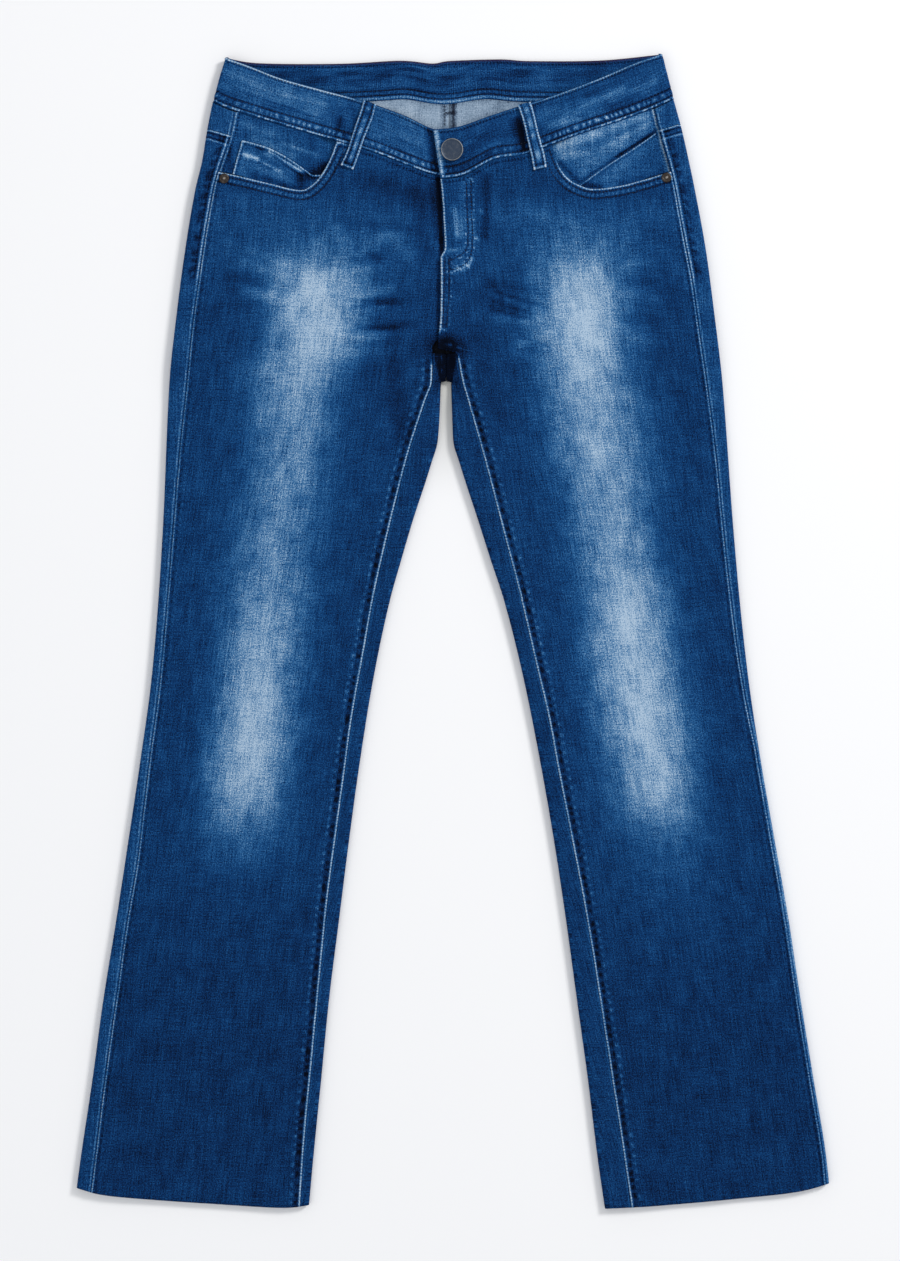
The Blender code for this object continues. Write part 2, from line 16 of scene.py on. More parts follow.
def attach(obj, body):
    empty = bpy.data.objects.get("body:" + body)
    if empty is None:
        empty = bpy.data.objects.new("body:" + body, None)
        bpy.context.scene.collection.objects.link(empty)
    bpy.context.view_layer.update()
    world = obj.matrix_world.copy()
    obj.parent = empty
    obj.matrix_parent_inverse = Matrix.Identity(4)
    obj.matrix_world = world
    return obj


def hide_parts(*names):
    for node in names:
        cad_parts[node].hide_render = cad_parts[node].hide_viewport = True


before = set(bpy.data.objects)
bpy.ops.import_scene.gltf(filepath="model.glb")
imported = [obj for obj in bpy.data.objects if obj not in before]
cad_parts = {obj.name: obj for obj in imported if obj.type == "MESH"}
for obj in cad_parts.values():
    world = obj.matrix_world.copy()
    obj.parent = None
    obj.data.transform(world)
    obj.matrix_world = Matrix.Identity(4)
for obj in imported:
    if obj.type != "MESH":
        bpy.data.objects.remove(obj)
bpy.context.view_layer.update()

# Where the frame's middle is in the tables' millimetres.
MIDDLE = (0.8, 0.2)
# Walls, gaps and levels. A level is the height of the middle of a wall above the surface.
DENIM, BAND, LOOP, GAP = 1.2, 2.2, 1.8, 0.3
BACK_IN_LEG, BACK_IN_SEAT = 0.6, 2.1
SEAT_STARTS, SEAT_ENDS = 190.0, 248.0
FOLD_RADIUS, CROTCH_FOLD_RADIUS = 2.4, 0.9
FRONT_OVER_BACK = 2 * FOLD_RADIUS
FACING_LEVEL = 3.7
LAID_ON = DENIM + GAP + 0.2
BAND_BACK_LEVEL, BAND_FRONT_LEVEL, BAND_UNDER_LEVEL, BAND_LAP_LEVEL = 2.6, 7.0, 6.2, 8.8
# Places along the height, and how far one piece goes under the next.
RIVET_ROW, FLY_TOP = 406.5, 399.0
TOP_SHIFT_ENDS = 300.0
CROTCH_ROW, SEAMS_MEET = 246.0, 222.0
HEM_SHIFT_STARTS, HEM_ROW = -468.0, -512.0
FLY_UNDERLAP, POCKET_UNDERLAP = 10.0, 12.0
# The centre seam of the back, and the yoke seam: at the outseam and the side, then at the centre.
BACK_CENTRE_TOP, BACK_CENTRE_CROTCH = -2.7, -5.3
YOKE_SEAM = {"right": (438.5, 443.8), "left": (443.4, 448.3)}
YOKE_CENTRE = 404.0
# Rows of stitches: beside the yoke's centre seam and across it, and on the waistband's two faces.
YOKE_ROWS, YOKE_BAR = (-6.2, 1.1), 459.8
BAND_ROWS, BAND_INNER_ROWS = (3.1, 10.0), (4.6, 8.8)
PUCKER_PITCH, STITCH_PITCH = 7.9, 3.1
# The distance that a place has from a seam which isn't near it.
FAR = 40.0
# The share of a front's columns that end at the pocket opening.
OPENING_SHARE = 7 / 15
BUTTON_AT, BUTTON_RADIUS, BUTTON_HEIGHT = (0.0, 425.6), 10.0, 3.0
RIVET_RADIUS, RIVET_HEIGHT = 4.5, 1.6
RIVETS = {"right": (-201.6, 400.6), "left": (189.6, 401.4)}
# Belt loops: middle of the top end and of the bottom end, and the width.
LOOP_WIDTH = 11.0
FRONT_LOOPS = {"right": ((-72.6, 467.6), (-92.9, 410.4)), "left": ((63.7, 466.6), (77.9, 409.4))}
BACK_LOOPS = {"right": (-104.0, -108.0), "centre": (-3.0, -3.0), "left": (98.0, 102.0)}
BACK_LOOP_TOP, BACK_LOOP_BOTTOM = 502.0, 456.0


def ease(low, high, value):
    """0 below low, 1 above high and a soft step between."""
    t = np.clip((value - low) / (high - low), 0.0, 1.0)
    return t * t * (3 - 2 * t)


def mix(a, b, share):
    return a + (b - a) * share


def hump(value, middle, width):
    """1 at the middle, fading softly to 0 a few widths away."""
    return np.exp(-((value - middle) / width) ** 2)


def sign(side):
    return -1 if side == "right" else 1


def in_metres(spots):
    return (np.asarray(spots, float) - (*MIDDLE, 0.0)) * 0.001


class Table:
    """Rows with named columns, read smoothly at any values of the first column."""

    def __init__(self, columns, rows):
        rows = np.array(sorted(rows), float)
        keys = rows[:, 0]
        step = np.diff(keys)
        self.keys = np.linspace(keys[0], keys[-1], 1600)
        i = np.clip(np.searchsorted(keys, self.keys, side="right") - 1, 0, len(keys) - 2)
        t = (self.keys - keys[i]) / step[i]
        self.columns = {}
        for name, values in zip(columns.split()[1:], rows[:, 1:].T):
            rise = np.diff(values) / step
            before, after = rise[:-1], rise[1:]
            both = np.where(before * after > 0, before + after, 1.0)
            inner = np.where(before * after > 0, 2 * before * after / both, 0.0)
            slope = np.concatenate((rise[:1], inner, rise[-1:]))
            a, b = slope[i] * step[i], slope[i + 1] * step[i]
            self.columns[name] = ((2 * t ** 3 - 3 * t ** 2 + 1) * values[i]
                                  + (t ** 3 - 2 * t ** 2 + t) * a
                                  + (3 * t ** 2 - 2 * t ** 3) * values[i + 1]
                                  + (t ** 3 - t ** 2) * b)

    def at(self, name, key):
        return np.interp(key, self.keys, self.columns[name])


class Edge:
    """A smooth line through a few points, read by its share of the length or by x."""

    def __init__(self, points, fine=12):
        p = np.array(points, float)
        p = np.vstack((2 * p[0] - p[1], p, 2 * p[-1] - p[-2]))
        t = np.arange(1, fine + 1)[:, None] / fine
        line = [p[1:2]]
        for a, b, c, d in zip(p, p[1:], p[2:], p[3:]):
            line.append(0.5 * (2 * b + (c - a) * t + (2 * a - 5 * b + 4 * c - d) * t ** 2
                               + (3 * b - a - 3 * c + d) * t ** 3))
        self.line = np.vstack(line)
        steps = np.linalg.norm(np.diff(self.line, axis=0), axis=1)
        self.length = np.concatenate(([0.0], np.cumsum(steps)))

    def at(self, share):
        want = np.clip(share, 0.0, 1.0) * self.length[-1]
        return np.stack([np.interp(want, self.length, column) for column in self.line.T], axis=-1)

    def across(self, share):
        """The direction square to the line, on its right-hand side."""
        share = np.asarray(share, float)
        ahead = self.at(share + 0.01) - self.at(share - 0.01)
        square = np.stack((ahead[..., 1], -ahead[..., 0]), axis=-1)
        return square / np.linalg.norm(square, axis=-1, keepdims=True)

    def y_at(self, x):
        line = self.line if self.line[0, 0] < self.line[-1, 0] else self.line[::-1]
        return np.interp(x, line[:, 0], line[:, 1])

    def nearest(self, x, y):
        """How far each place is from the line, and how far along the line that is."""
        count = int(self.length[-1] / 1.2)
        spots = self.at(np.linspace(0, 1, count))
        away, along = np.empty(len(x)), np.empty(len(x))
        for first in range(0, len(x), 8000):
            part = slice(first, first + 8000)
            apart = np.hypot(x[part, None] - spots[:, 0], y[part, None] - spots[:, 1])
            best = apart.argmin(axis=1)
            away[part] = apart[np.arange(len(best)), best]
            along[part] = best * self.length[-1] / (count - 1)
        return away, along


# Where the side folds, the outseams, the inner folds, the fly and the inseams are at each level.
SIDE = Table("level right left", (
    (512, -198.9, 184.6), (470, -211.5, 196.5), (444, -216.8, 203.6), (417, -221.2, 209.7),
    (391, -227.4, 215.1), (338, -236.3, 224.8), (285, -243.4, 231.9), (218, -250.5, 239.8),
    (99, -255.8, 248.7), (28, -260.2, 254.9), (-43, -266.4, 262.8), (-114, -276.1, 273.5),
    (-185, -286.7, 285.9), (-255, -297.4, 298.2), (-326, -308.9, 308.9), (-397, -318.6, 320.4),
    (-468, -329.2, 331.9), (-512, -335.0, 336.2)))
OUTSEAM = Table("level right left", (
    (480, -186.5, 174.0), (462, -190.7, 178.3), (437, -196.0, 184.7), (412, -204.4, 191.8),
    (395, -209.3, 195.8), (377, -212.8, 199.1), (350, -217.5, 204.0), (312, -223.0, 211.3),
    (270, -228.8, 217.3), (218, -234.0, 225.0), (160, -240.3, 232.5), (88, -246.3, 239.6),
    (5, -253.2, 249.0), (-50, -258.5, 257.2), (-113, -266.8, 269.8), (-160, -272.5, 278.6),
    (-209, -278.5, 287.1), (-255, -286.5, 294.9), (-326, -296.5, 305.6), (-397, -306.5, 317.2),
    (-468, -315.3, 328.7), (-512, -320.8, 333.0)))
INNER = Table("level right left", (
    (222.6, -5.6, -5.0), (221.4, -9.6, -0.8), (217, -9.9, -0.7), (195, -10.8, 0.0), (169, -12.6, 1.1),
    (150, -18.0, 6.5), (134, -23.0, 11.5), (99, -34.5, 23.0), (63, -45.1, 34.5),
    (28, -54.9, 46.0), (-43, -69.9, 63.7), (-114, -81.4, 77.9), (-185, -91.2, 90.3),
    (-255, -100.0, 100.9), (-326, -108.9, 110.6), (-397, -115.9, 120.4), (-468, -123.0, 129.2),
    (-512, -127.0, 135.6)))
FLY = Table("level x", (
    (402, -10.4), (387, -8.8), (359, -7.1), (339, -6.2), (331, -9.9), (308, -9.7),
    (280, -10.1), (262, -11.8), (251, -12.4)))
INSEAM = Table("level right left", (
    (251, -17.7, 4.0), (222, -18.1, 9.4), (205, -23.9, 14.2), (160, -38.5, 27.1),
    (90, -56.4, 45.5), (32, -69.5, 60.7), (-20, -78.8, 72.7), (-77, -89.0, 85.9),
    (-129, -96.1, 95.6), (-183, -103.4, 106.2), (-235, -110.3, 116.3), (-290, -115.8, 125.7),
    (-372, -123.6, 138.4), (-453, -131.2, 151.0), (-512, -135.2, 159.6)))
HEM = {
    "right": Edge(((-337, -492.0), (-311, -498.7), (-267, -503.1), (-214, -506.7),
                   (-152, -510.2), (-125, -507.5))),
    "left": Edge(((134, -511.1), (184, -508.4), (255, -502.2), (308, -496.0), (338, -488.0))),
}
BAND_EDGES = {
    "front right top": Edge(((6, 441.5), (-17.7, 445.2), (-43.4, 457.1), (-81.4, 470.4),
                             (-116.8, 480.1), (-151.3, 489.8), (-178.8, 500.5), (-200.0, 508.0))),
    "front right bottom": Edge(((8, 403.5), (-18.6, 404.9), (-63.7, 421.7), (-92.9, 431.0),
                                (-139.8, 444.6), (-191.2, 460.2), (-210.6, 467.7))),
    "front left top": Edge(((-16.8, 443.8), (6.2, 446.5), (33.6, 456.2), (60.2, 465.1),
                            (90.3, 474.8), (130.1, 489.8), (159.3, 502.3), (185.0, 511.2))),
    "front left bottom": Edge(((-10.1, 400.2), (10.6, 403.6), (38.1, 417.7), (66.4, 422.6),
                               (109.7, 438.6), (146.9, 450.9), (171.7, 460.1), (195.6, 470.3))),
    "back top": Edge(((-200.0, 508.0), (-169.9, 503.5), (-99.1, 503.1), (-46.0, 505.8),
                      (-17.7, 503.3), (-1.8, 505.6), (42.5, 507.0), (69.0, 505.5),
                      (131.0, 506.0), (185.0, 511.2))),
    "back bottom": Edge(((-210.6, 467.7), (-116.8, 467.9), (-63.7, 470.2), (-41.0, 471.4),
                         (-18.0, 467.8), (-0.9, 467.4), (30.0, 471.6), (62.0, 469.2),
                         (131.0, 468.9), (195.6, 470.3))),
}
POCKET_OPENING = {
    "right": ((-206.2, 406.5), (-181.4, 401.0), (-161.1, 396.0), (-135.4, 390.3),
              (-125.7, 393.4), (-116.8, 402.2), (-108.0, 417.3), (-101.8, 432.6)),
    "left": ((193.2, 406.5), (167.3, 398.7), (146.9, 393.7), (124.8, 391.3), (112.4, 394.7),
             (104.4, 399.1), (97.3, 406.7), (92.0, 417.3), (88.0, 430.0)),
}
# Low creases across the fronts: from x, from y, to x, to y, half width and height.
FOLDS = (
    (22, 262, 118, 318, 9, 0.8),
    (14, 240, 96, 262, 8, -0.6),
    (30, 300, 104, 352, 8, 0.6),
    (-36, 262, -128, 306, 9, 0.8),
    (-30, 240, -104, 258, 8, -0.6),
    (-40, 300, -112, 348, 8, 0.6),
    (150, 150, 196, -40, 13, 0.7),
    (-160, 150, -196, -30, 13, 0.7),
    (190, -90, 236, -290, 15, -0.6),
    (-190, -90, -228, -290, 15, -0.6),
    (205, -330, 262, -480, 14, 0.6),
    (-200, -320, -258, -480, 14, 0.6),
)

# The worn stripe down each leg: its middle, its half width to each side and how worn it is.
FADE = {
    "right": Table("level middle left right worn", (
        (385, -118, 70, 60, 0.0), (351, -118, 60, 58, 0.11), (338, -121, 48, 50, 0.24),
        (325, -122, 42, 46, 0.50), (311, -120, 36, 40, 0.84), (298, -121, 38, 39, 0.95),
        (262, -121, 37, 38, 0.93), (231, -129, 43, 33, 0.74), (205, -136, 41, 30, 0.63),
        (160, -142, 33, 33, 0.53), (116, -150, 34, 34, 0.46), (72, -157, 34, 32, 0.50),
        (28, -160, 37, 31, 0.58), (-16, -169, 31, 34, 0.74), (-50, -173, 30, 32, 0.86),
        (-105, -179, 31, 34, 0.90), (-127, -184, 31, 35, 0.82), (-149, -185, 28, 32, 0.72),
        (-171, -187, 34, 40, 0.38), (-193, -187, 38, 42, 0.17), (-225, -187, 40, 42, 0.03),
        (-260, -187, 40, 42, 0.0))),
    "left": Table("level middle left right worn", (
        (385, 100, 70, 70, 0.0), (351, 114, 46, 45, 0.17), (338, 115, 41, 40, 0.32),
        (325, 115, 38, 36, 0.52), (311, 113, 36, 36, 0.82), (298, 115, 37, 34, 0.95),
        (284, 118, 38, 33, 1.00), (258, 116, 39, 37, 0.97), (231, 120, 37, 34, 0.88),
        (205, 125, 38, 37, 0.74), (160, 129, 35, 40, 0.70), (116, 139, 35, 33, 0.62),
        (72, 149, 38, 29, 0.64), (45, 154, 33, 31, 0.80), (6, 157, 35, 33, 0.94),
        (-40, 165, 39, 34, 0.92), (-83, 172, 36, 35, 0.95), (-105, 177, 38, 33, 0.88),
        (-127, 184, 40, 27, 0.82), (-149, 185, 40, 28, 0.72), (-171, 190, 42, 32, 0.38),
        (-193, 192, 40, 35, 0.16), (-216, 192, 40, 38, 0.10), (-260, 195, 42, 40, 0.04),
        (-330, 200, 42, 40, 0.0))),
}
TONE = Table("level front right_strip left_strip", (
    (512, 0.10, 0.08, 0.08), (440, 0.10, 0.08, 0.10), (395, 0.06, 0.08, 0.12),
    (377, 0.07, 0.08, 0.13), (364, 0.10, 0.08, 0.13), (337, 0.09, 0.08, 0.13),
    (300, 0.04, 0.10, 0.13), (240, 0.03, 0.10, 0.12), (100, 0.05, 0.10, 0.10),
    (20, 0.04, 0.11, 0.08), (-50, 0.03, 0.12, 0.10), (-105, 0.03, 0.12, 0.15),
    (-150, 0.03, 0.11, 0.23), (-200, 0.03, 0.10, 0.25), (-290, 0.0, 0.10, 0.28),
    (-330, -0.01, 0.09, 0.20), (-400, -0.02, 0.06, 0.14), (-512, -0.01, 0.05, 0.10)))
# The middle of each leg, which the threads follow.
AXIS = Table("level right left", (
    (512, -104, 97), (400, -108, 101), (250, -124, 117), (0, -163, 160), (-250, -199, 206),
    (-512, -228, 246)))
# How strongly the pale worn line shows along the seams.
LINE = Table("level right_outseam left_outseam inner", (
    (470, 0.78, 0.70, 1.00), (330, 0.75, 0.70, 1.00), (306, 0.50, 0.52, 0.95),
    (100, 0.46, 0.54, 0.90), (-60, 0.58, 0.64, 0.90), (-512, 0.70, 0.54, 0.95)))

# Whiskers, clouds and painted shadows: from x, from y, to x, to y, half width and how much paler.
PAINTED = {
    "right": (
        (-114, 317, -63, 322, 4, 0.10), (-91, 293, -55, 304, 4, 0.12),
        (-106, 265, -68, 263, 5, 0.13), (-183, 301, -150, 294, 5, 0.13),
        (-185, 327, -147, 313, 4, 0.11), (-201, 346, -152, 327, 4, 0.07),
        (-90, 346, -42, 350, 6, 0.08), (-86, 247, -53, 249, 4, 0.06),
        (-91, 325, -65, 329, 3, -0.10), (-88, 287, -51, 293, 4, -0.12),
        (-84, 268, -35, 272, 4, -0.10), (-103, 365, -38, 355, 4, -0.07),
        (-96, 294, -45, 291, 1.8, -0.16), (-98, 266, -48, 269, 1.8, -0.14),
        (-88, 330, -62, 334, 1.8, -0.14),
        (-118, 330, -86, 317, 1.5, -0.10), (-92, 281, -60, 287, 1.5, 0.12),
        (-92, 258, -58, 262, 1.6, 0.10),
        (-198, 315, -163, 306, 4, -0.07), (-204, 288, -168, 288, 5, -0.05),
        (-55, 254, -42, 170, 8, -0.09), (-123, 314, -123, 293, 9, 0.06),
        (-122, 260, -122, 254, 8, 0.09), (-135, 283, -108, 279, 5, -0.07),
        (-168, -52, -172, -114, 7, 0.07), (-182, -61, -188, -149, 6, 0.06),
        (-158, -78, -163, -149, 5, 0.07), (-53, 348, -37, 336, 9, 0.08),
        (-196, 384, -135, 378, 7, 0.06), (-81, 400, -20, 382, 9, -0.09),
        (-12.4, 400, -9.6, 346, 1.9, -0.45), (-9.6, 346, -9.0, 336, 1.9, -0.40),
        (-17, 396, -14, 350, 4, -0.12), (-11.8, 328, -12.6, 262, 1.2, -0.22),
        (-30, 392, -26, 330, 7, -0.08),
        (-16.5, 252.5, -14.5, 254.5, 0.8, 0.40)),
    "left": (
        (36, 277, 78, 274, 4, 0.12), (61, 254, 88, 264, 4, 0.12), (81, 369, 114, 357, 5, 0.06),
        (142, 322, 177, 327, 4, 0.08), (147, 300, 184, 293, 4, 0.08), (78, 327, 101, 322, 4, 0.08),
        (156, 262, 191, 254, 4, 0.05), (36, 307, 78, 301, 5, -0.09), (38, 291, 81, 281, 4, -0.11),
        (40, 300, 84, 287, 1.8, -0.15), (34, 286, 84, 272, 1.8, -0.12),
        (60, 262, 92, 250, 1.8, -0.12),
        (90, 306, 112, 300, 1.5, -0.10), (48, 293, 82, 280, 1.5, 0.10),
        (67, 251, 88, 243, 5, -0.09), (150, 311, 180, 309, 4, -0.07), (150, 277, 184, 274, 5, -0.06),
        (25, 267, 42, 187, 8, -0.04), (114, 317, 118, 302, 9, 0.05), (122, 285, 120, 258, 10, 0.08),
        (111, 293, 111, 267, 4, -0.06), (131, 187, 135, 134, 5, 0.06), (156, 28, 159, -8, 8, 0.07),
        (166, -52, 173, -114, 9, 0.06), (188, -123, 191, -149, 6, 0.09), (153, -61, 166, -140, 4, -0.06),
        (2, 376, 6, 349, 2.5, 0.20), (9, 384, 9, 352, 2, 0.10), (31, 402, 29, 350, 4, -0.14),
        (17, 372, 18, 357, 2, 0.14), (-4.7, 336, 8.6, 339, 1.6, 0.26), (18, 331, 14, 323, 1.5, 0.45),
        (14, 323, -1, 318, 1.5, 0.40), (20, 349, 24, 347, 1.6, 0.35), (26, 372, 26, 371, 1.6, 0.25),
        (8, 333, 11, 322, 3, 0.12), (10, 300, 24, 312, 5, 0.05),
        (0, 374, 5, 350, 1.6, 0.14), (-6, 253.9, 0, 253.4, 0.7, 0.42),
        (2.5, 252.4, 6.5, 250.2, 0.7, 0.42),
        (12, 398, 12, 345, 8, 0.04)),
    "band": (
        (-192, 488, -150, 476, 8, 0.11), (-140, 474, -70, 452, 8, 0.05),
        (-99, 453, -89, 426, 5, -0.08), (-50, 448, -24, 435, 8, 0.02),
        (-210, 490, -195, 470, 9, -0.06), (160, 486, 110, 464, 8, 0.07),
        (78, 456, 100, 463, 6, 0.14), (180, 497, 172, 478, 7, 0.08),
        (96, 448, 131, 460, 5, 0.10), (20, 426, 60, 444, 9, -0.09), (10, 437, 12, 433, 5, 0.02),
        (-5, 410, 20, 410, 6, -0.06), (55, 450, 62, 425, 4, -0.16), (-20, 445, -15, 408, 3.5, -0.26),
        (12, 432, 22, 434, 1.5, 0.16), (24, 424, 40, 432, 4, 0.10), (-175, 478, -120, 458, 3, 0.10),
        (-150, 474, -112, 466, 2, 0.12), (-60, 448, -40, 436, 3, 0.10), (100, 456, 150, 480, 3, 0.12),
        (86, 448, 110, 452, 4, 0.16), (140, 470, 180, 487, 2.5, 0.14), (-88, 462, -80, 440, 5, -0.14),
        (58, 454, 67, 416, 2.2, -0.30), (-98, 455, -106, 424, 2.2, -0.15), (120, 474, 150, 486, 3, -0.08),
        (-190, 486, -150, 470, 3, -0.08), (-165, 470, -125, 456, 2, -0.10),
        (-108, 458, -98, 440, 9, -0.05)),
    "under": (
        (-215, -28, -130, -18, 4, -0.10), (-222, -62, -140, -70, 4, 0.08), (-205, 22, -128, 14, 4, -0.08),
        (-190, -40, -120, -52, 3, -0.10), (-150, 204, -40, 190, 5, -0.10), (-185, 216, -90, 232, 5, 0.08),
        (-210, 176, -120, 168, 4, -0.08), (-120, 236, -30, 214, 4, 0.08),
        (-190, -110, -150, -104, 4, -0.07)),
    "facing right": (
        (-186, 449, -160, 441, 4, 0.12), (-175, 436, -140, 421, 3, 0.16), (-150, 432, -120, 422, 2, 0.18),
        (-133, 398, -114, 409, 6, -0.34), (-158, 391, -137, 392, 4, -0.16),
        (-112, 414, -110, 408, 4, -0.12),
        (-198, 441, -196, 409, 3, -0.15)),
    "coin": (
        (-183, 422, -172, 418, 2.2, 0.74), (-168, 415, -152, 407, 1.6, 0.38),
        (-178, 419, -160, 410, 1.2, -0.20), (-172, 428, -150, 418, 1.3, -0.20),
        (-162, 425.0, -132, 407, 1.0, 0.60), (-157, 420, -134, 404, 1.3, -0.30),
        (-176, 412, -146, 400, 3, 0.12), (-165, 424, -136, 408, 2.0, 0.22),
        (-176, 403, -150, 396, 4, -0.16), (-133, 401, -122, 405, 6, -0.34),
        (-150, 392, -130, 392, 4, -0.20)),
    "facing left": (
        (96, 431, 128, 440, 5, 0.40), (100, 422, 120, 424, 4, 0.20), (131, 426, 175, 450, 2.5, 0.20),
        (113, 398, 150, 423, 1.4, -0.30), (150, 423, 181, 444, 1.4, -0.30), (126, 441, 170, 455, 4, 0.14),
        (120, 416, 150, 430, 2, 0.10), (140, 446, 178, 458, 3, 0.12), (170, 436, 186, 440, 4, -0.10),
        (96, 415, 110, 400, 3, -0.25), (146, 421, 178, 440, 1.5, -0.2)),
    "facing lower": (
        (145, 410, 170, 424, 6, 0.08), (124, 400, 145, 403, 4, 0.06), (186, 430, 187, 410, 4, -0.10),
        (117, 396, 131, 393, 3, -0.22), (150, 396, 185, 405, 3, -0.10)),
}


def painted(where, x, y):
    """How much paler a place is made by the clouds and whiskers that lie over it, and how much darker by
    the painted shadows.
    """
    total = np.zeros_like(x)
    for x0, y0, x1, y1, half, amount in PAINTED[where]:
        total += 1.25 * amount * hump(to_capsule(x, y, x0, y0, x1, y1), 0.0, half * 0.95)
    return total


def to_capsule(x, y, x0, y0, x1, y1):
    """Distance to the straight line between two places."""
    dx, dy = x1 - x0, y1 - y0
    share = np.clip(((x - x0) * dx + (y - y0) * dy) / (dx * dx + dy * dy + 1e-9), 0, 1)
    return np.hypot(x - x0 - share * dx, y - y0 - share * dy)


def ripple(x, y, size, seed, stretch=1.0):
    """Soft uneven waves of about this size, mostly between -1 and 1."""
    chance = np.random.default_rng(seed)
    total = np.zeros_like(x)
    for _ in range(9):
        turn, phase = chance.uniform(0, math.pi), chance.uniform(0, 2 * math.pi)
        pace = 2 * math.pi / (size * chance.uniform(0.7, 1.7))
        total += np.sin(pace * (x * math.cos(turn) + y * math.sin(turn) / stretch) + phase)
    return total / 4


def back_level(y):
    return mix(BACK_IN_LEG, BACK_IN_SEAT, ease(SEAT_STARTS, SEAT_ENDS, y))


def back_centre(y):
    return mix(BACK_CENTRE_CROTCH, BACK_CENTRE_TOP, ease(SEAMS_MEET, 470, y))


def outseam(side, y):
    """Where the outseam is, kept clear of the back's fold."""
    limit = np.abs(SIDE.at(side, y)) - DENIM / 2 - FOLD_RADIUS - 0.8
    return sign(side) * np.minimum(np.abs(OUTSEAM.at(side, y)), limit)


def front_end(side, y):
    """Where a front ends at the centre: the fly, or its underlap, and then the inseam."""
    if side == "left":
        return mix(INSEAM.at(side, y) + GAP / 2, FLY.at("x", y), ease(246.5, 250.5, y))
    lapped = FLY.at("x", y) + FLY_UNDERLAP * ease(256, 272, y)
    return mix(INSEAM.at(side, y) - GAP / 2, lapped, ease(251, 262, y))


def folds(x, y):
    """Height of the low creases across the fronts."""
    total = np.zeros_like(x)
    for x0, y0, x1, y1, width, height in FOLDS:
        dx, dy = x1 - x0, y1 - y0
        share = ((x - x0) * dx + (y - y0) * dy) / (dx * dx + dy * dy)
        aside = np.hypot(x - x0 - share * dx, y - y0 - share * dy)
        total += height * ease(-0.1, 0.3, share) * (1 - ease(0.7, 1.1, share)) * hump(aside, 0, width)
    return total


def front_level(side, x, y):
    outer, inner = outseam(side, y), front_end(side, y)
    share = np.clip((x - outer) / (inner - outer), 0.0, 1.0)
    arch = np.sin(math.pi * share).clip(0)
    level = back_level(y) + FRONT_OVER_BACK + folds(x, y) * arch ** 0.5
    level -= 1.3 * (1 - ease(300, 385, y)) * arch ** 0.7
    if side == "right":
        return level - 1.7 * (1 - ease(0, 28, FLY.at("x", y) - x)) * ease(250, 262, y)
    return level + 0.9 * (1 - ease(0, 30, x - FLY.at("x", y))) * ease(330, 398, y)


def pocket_opening(side):
    points = list(POCKET_OPENING[side])
    x = points[-1][0]
    points[-1] = (x, band_seam(side, x))
    return Edge(points)


def band_seam(side, x):
    """Level at which a front and its facing end, just below the waistband."""
    return BAND_EDGES[f"front {side} bottom"].y_at(x) - 2 * GAP


def front_top_edge(side):
    """The line along the pocket opening and then along the waistband, out to the fly."""
    opening = pocket_opening(side)
    x = np.linspace(opening.at(1)[0], front_end(side, FLY_TOP), 30)[1:]
    run = np.stack((x, band_seam(side, x)), axis=-1)
    return Edge(np.vstack((opening.at(np.linspace(0, 1, 40)), run)), fine=2)


def front_relief(side, x, y, away):
    """Height of the seams, creases and soft waves over a front's plain form."""
    outer, inner, upper = away
    legs = 1 - ease(330, 400, y)
    high = 0.22 * ripple(x, y, 55, 11 if side == "right" else 12, 1.8)
    high = high + 0.10 * ripple(x, y, 19, 13 if side == "right" else 14)
    for x0, y0, x1, y1, half, amount in PAINTED[side]:
        if 235 < (y0 + y1) / 2 < 372 and abs(x0 - x1) > 20:
            high = high + 5.0 * amount * hump(to_capsule(x, y, x0, y0, x1, y1), 0, half * 1.3)
    high = high * ease(2, 16, np.minimum(outer, inner)) * ease(1, 12, upper)
    pucker = 0.5 + 0.5 * np.sin(2 * math.pi * y / PUCKER_PITCH + 1.2 * ripple(x * 0, y, 60, 15))
    seam = 0.45 * (1 - ease(0.4, 2.2, inner)) - 0.30 * hump(inner, 4.4, 2.4) * (1 - 0.9 * pucker)
    high = high + seam * legs + 0.25 * legs * hump(inner, 9.5, 2.4) * pucker
    high = high + 0.40 * (1 - ease(0.4, 2.4, outer)) - 0.2 * hump(outer, 3.6, 1.6)
    rolled = 0.45 * (1 - ease(8.6, 11, upper)) - 0.22 * hump(upper, 2.9, 0.9)
    rolled = rolled - 0.22 * hump(upper, 8.2, 0.9)
    return high + rolled * ease(92, 100, np.abs(x)) + 0.35 * hump(y, -500, 7)


def front_top(side, x, y):
    """Height of a front's upper surface at places that are given one by one."""
    x, y = np.atleast_1d(np.asarray(x, float)), np.atleast_1d(np.asarray(y, float))
    away = (np.abs(x - outseam(side, y)), np.abs(x - front_end(side, y)),
            front_top_edge(side).nearest(x, y)[0])
    return front_level(side, x, y) + front_relief(side, x, y, away) + DENIM / 2


